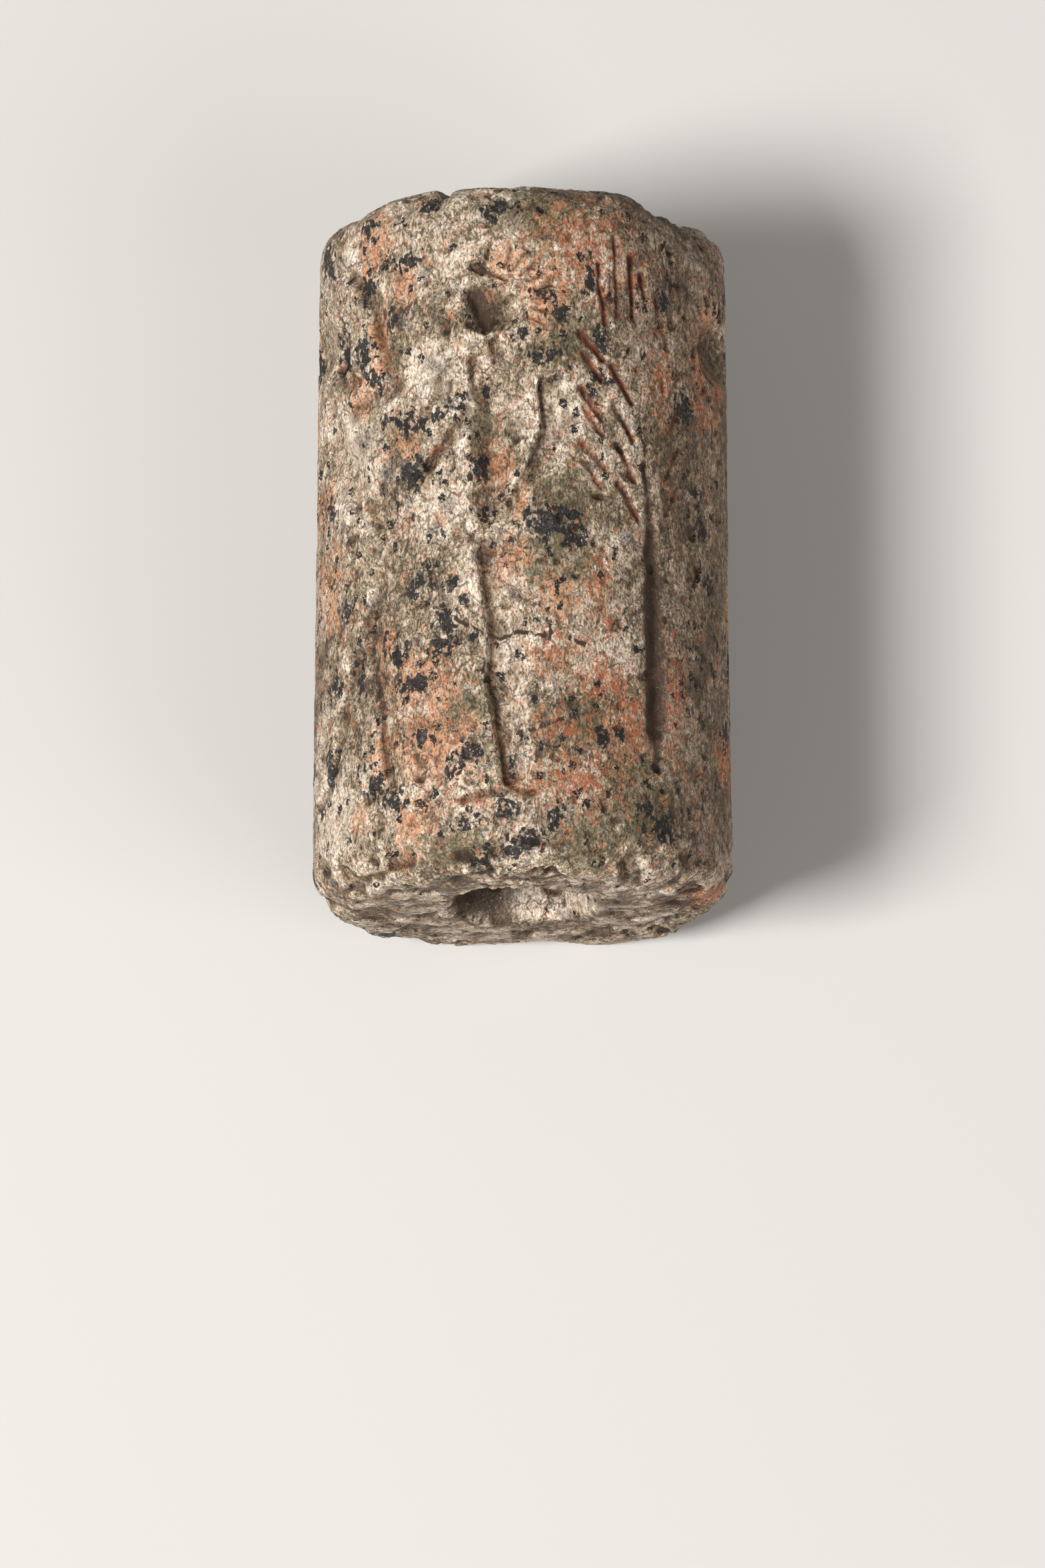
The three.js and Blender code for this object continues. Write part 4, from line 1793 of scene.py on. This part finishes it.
    def deepest(self, cuts: list[Cut], around: Array, down: Array) -> Array:
        """Finds the deepest of some cuts at each place.

        Args:
            cuts: The cuts.
            around: Places round the girth.
            down: Places down the seal.

        Returns:
            Depths in mm.
        """
        depth = np.zeros(around.shape)
        for cut in cuts:
            high, low = cut.window()
            near = np.flatnonzero((down > high) & (down < low))
            depth[near] = np.maximum(depth[near], cut.depth_at(self.form, around[near], down[near]))
        return depth

    def build(self) -> bpy.types.Object:
        """Makes the seal and puts it in the frame.

        Returns:
            The piece.
        """
        piece = bpy.data.objects.new("carved_stone", self.mesh(self.relief()))
        bpy.context.scene.collection.objects.link(piece)
        self.thin_out(piece)
        self.stain(piece.data)
        piece.data.materials.append(self.finish.material())
        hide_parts(NODE)
        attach(piece, BODY)
        log.info("%s: %d triangles", piece.name, len(piece.data.polygons))
        return piece


@dataclass(frozen=True)
class Lamp:
    """A soft square lamp.

    Attributes:
        name: Its name.
        place: Where it is, in mm from the middle of the seal.
        size: Its side, in mm.
        power: Its power in watts.
        colour: Its colour.
    """

    name: str
    place: tuple[float, float, float]
    size: float
    power: float
    colour: tuple[float, float, float] = (1.0, 0.99, 0.98)


@dataclass
class Studio:
    """The plain pale floor, soft lamps and camera.

    Attributes:
        aim: The middle of the seal.
        elevation: How far the camera looks down on the seal, in degrees.
        distance: How far the camera is from the middle of the seal, in mm.
        dip: How far below the seal's middle the camera points, in degrees.
        lens: The camera's focal length, in mm.
        sensor: The width of its film, in mm.
        half_floor: Half the floor's width, in metres.
        floor_tint: The floor's colour.
        room_tint: The colour of the light that the room throws back.
        room_light: How strong that light is.
        lamps: The lamps.
    """

    aim: Vector
    elevation: float = 77.5
    distance: float = 450.0
    dip: float = 1.375
    lens: float = 206.9
    sensor: float = 36.0
    half_floor: float = 3.0
    floor_tint: Tint = tint(196, 194, 190)
    room_tint: Tint = (1.0, 0.98, 0.95, 1.0)
    room_light: float = 0.2
    lamps: tuple[Lamp, ...] = (
        Lamp("key_lamp", (-425.0, -165.0, 570.0), 220.0, 7.5),
        Lamp("fill_lamp", (480.0, -330.0, 400.0), 500.0, 2.2),
    )

    def floor(self) -> bpy.types.Object:
        """Lays the pale floor just under the seal."""
        half = self.half_floor
        mesh = bpy.data.meshes.new("pale_floor")
        corners = [(-half, -half, 0.0), (half, -half, 0.0), (half, half, 0.0), (-half, half, 0.0)]
        mesh.from_pydata(corners, [], [(0, 1, 2, 3)])
        piece = bpy.data.objects.new("pale_floor", mesh)
        piece.location.z = -0.01 * MM
        bpy.context.scene.collection.objects.link(piece)
        art = Sketch("pale_floor")
        shader = art.node("BsdfPrincipled")
        shader.inputs["Base Color"].default_value = self.floor_tint
        shader.inputs["Roughness"].default_value = 0.9
        output = art.node("OutputMaterial")
        art.feed(output.inputs["Surface"], shader.outputs["BSDF"])
        mesh.materials.append(art.material)
        return piece

    def light(self, lamp: Lamp) -> bpy.types.Object:
        """Hangs one lamp so that it shines on the seal.

        Args:
            lamp: Which lamp.

        Returns:
            The light.
        """
        data = bpy.data.lights.new(lamp.name, "AREA")
        data.size = lamp.size * MM
        data.energy = lamp.power
        data.color = lamp.colour
        light = bpy.data.objects.new(lamp.name, data)
        offset = Vector(lamp.place) * MM
        light.location = self.aim + offset
        light.rotation_euler = (-offset).to_track_quat("-Z", "Y").to_euler()
        bpy.context.scene.collection.objects.link(light)
        return light

    def camera(self) -> bpy.types.Object:
        """Sets the camera up over the seal's lower end."""
        data = bpy.data.cameras.new("camera")
        data.lens = self.lens
        data.sensor_width = self.sensor
        data.clip_start = 0.01
        tilt = math.radians(self.elevation)
        away = Vector((0.0, -math.cos(tilt), math.sin(tilt))) * self.distance * MM
        camera = bpy.data.objects.new("camera", data)
        camera.location = self.aim + away
        camera.rotation_euler = (math.radians(90.0 - self.elevation - self.dip), 0.0, 0.0)
        bpy.context.scene.collection.objects.link(camera)
        bpy.context.scene.camera = camera
        return camera

    def air(self) -> None:
        """Fills the room with a little even light."""
        world = bpy.data.worlds.new("room")
        world.use_nodes = True
        background = world.node_tree.nodes["Background"]
        background.inputs["Color"].default_value = self.room_tint
        background.inputs["Strength"].default_value = self.room_light
        bpy.context.scene.world = world

    def build(self) -> None:
        """Sets everything up."""
        self.floor()
        self.camera()
        self.air()
        for lamp in self.lamps:
            self.light(lamp)
            log.info("%s: %.2f W", lamp.name, lamp.power)
        bpy.context.scene.view_settings.view_transform = "Standard"


def main() -> None:
    """Builds the seal and the studio, and writes how large the seal came out."""
    logging.basicConfig(level=logging.INFO, format="%(name)s: %(message)s")
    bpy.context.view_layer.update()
    form = SealForm.in_frame(NODE, coarse=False)
    Studio(Vector((0.0, 0.0, form.axis_height * MM))).build()
    Seal(form).build()


if __name__ == "__main__":
    main()
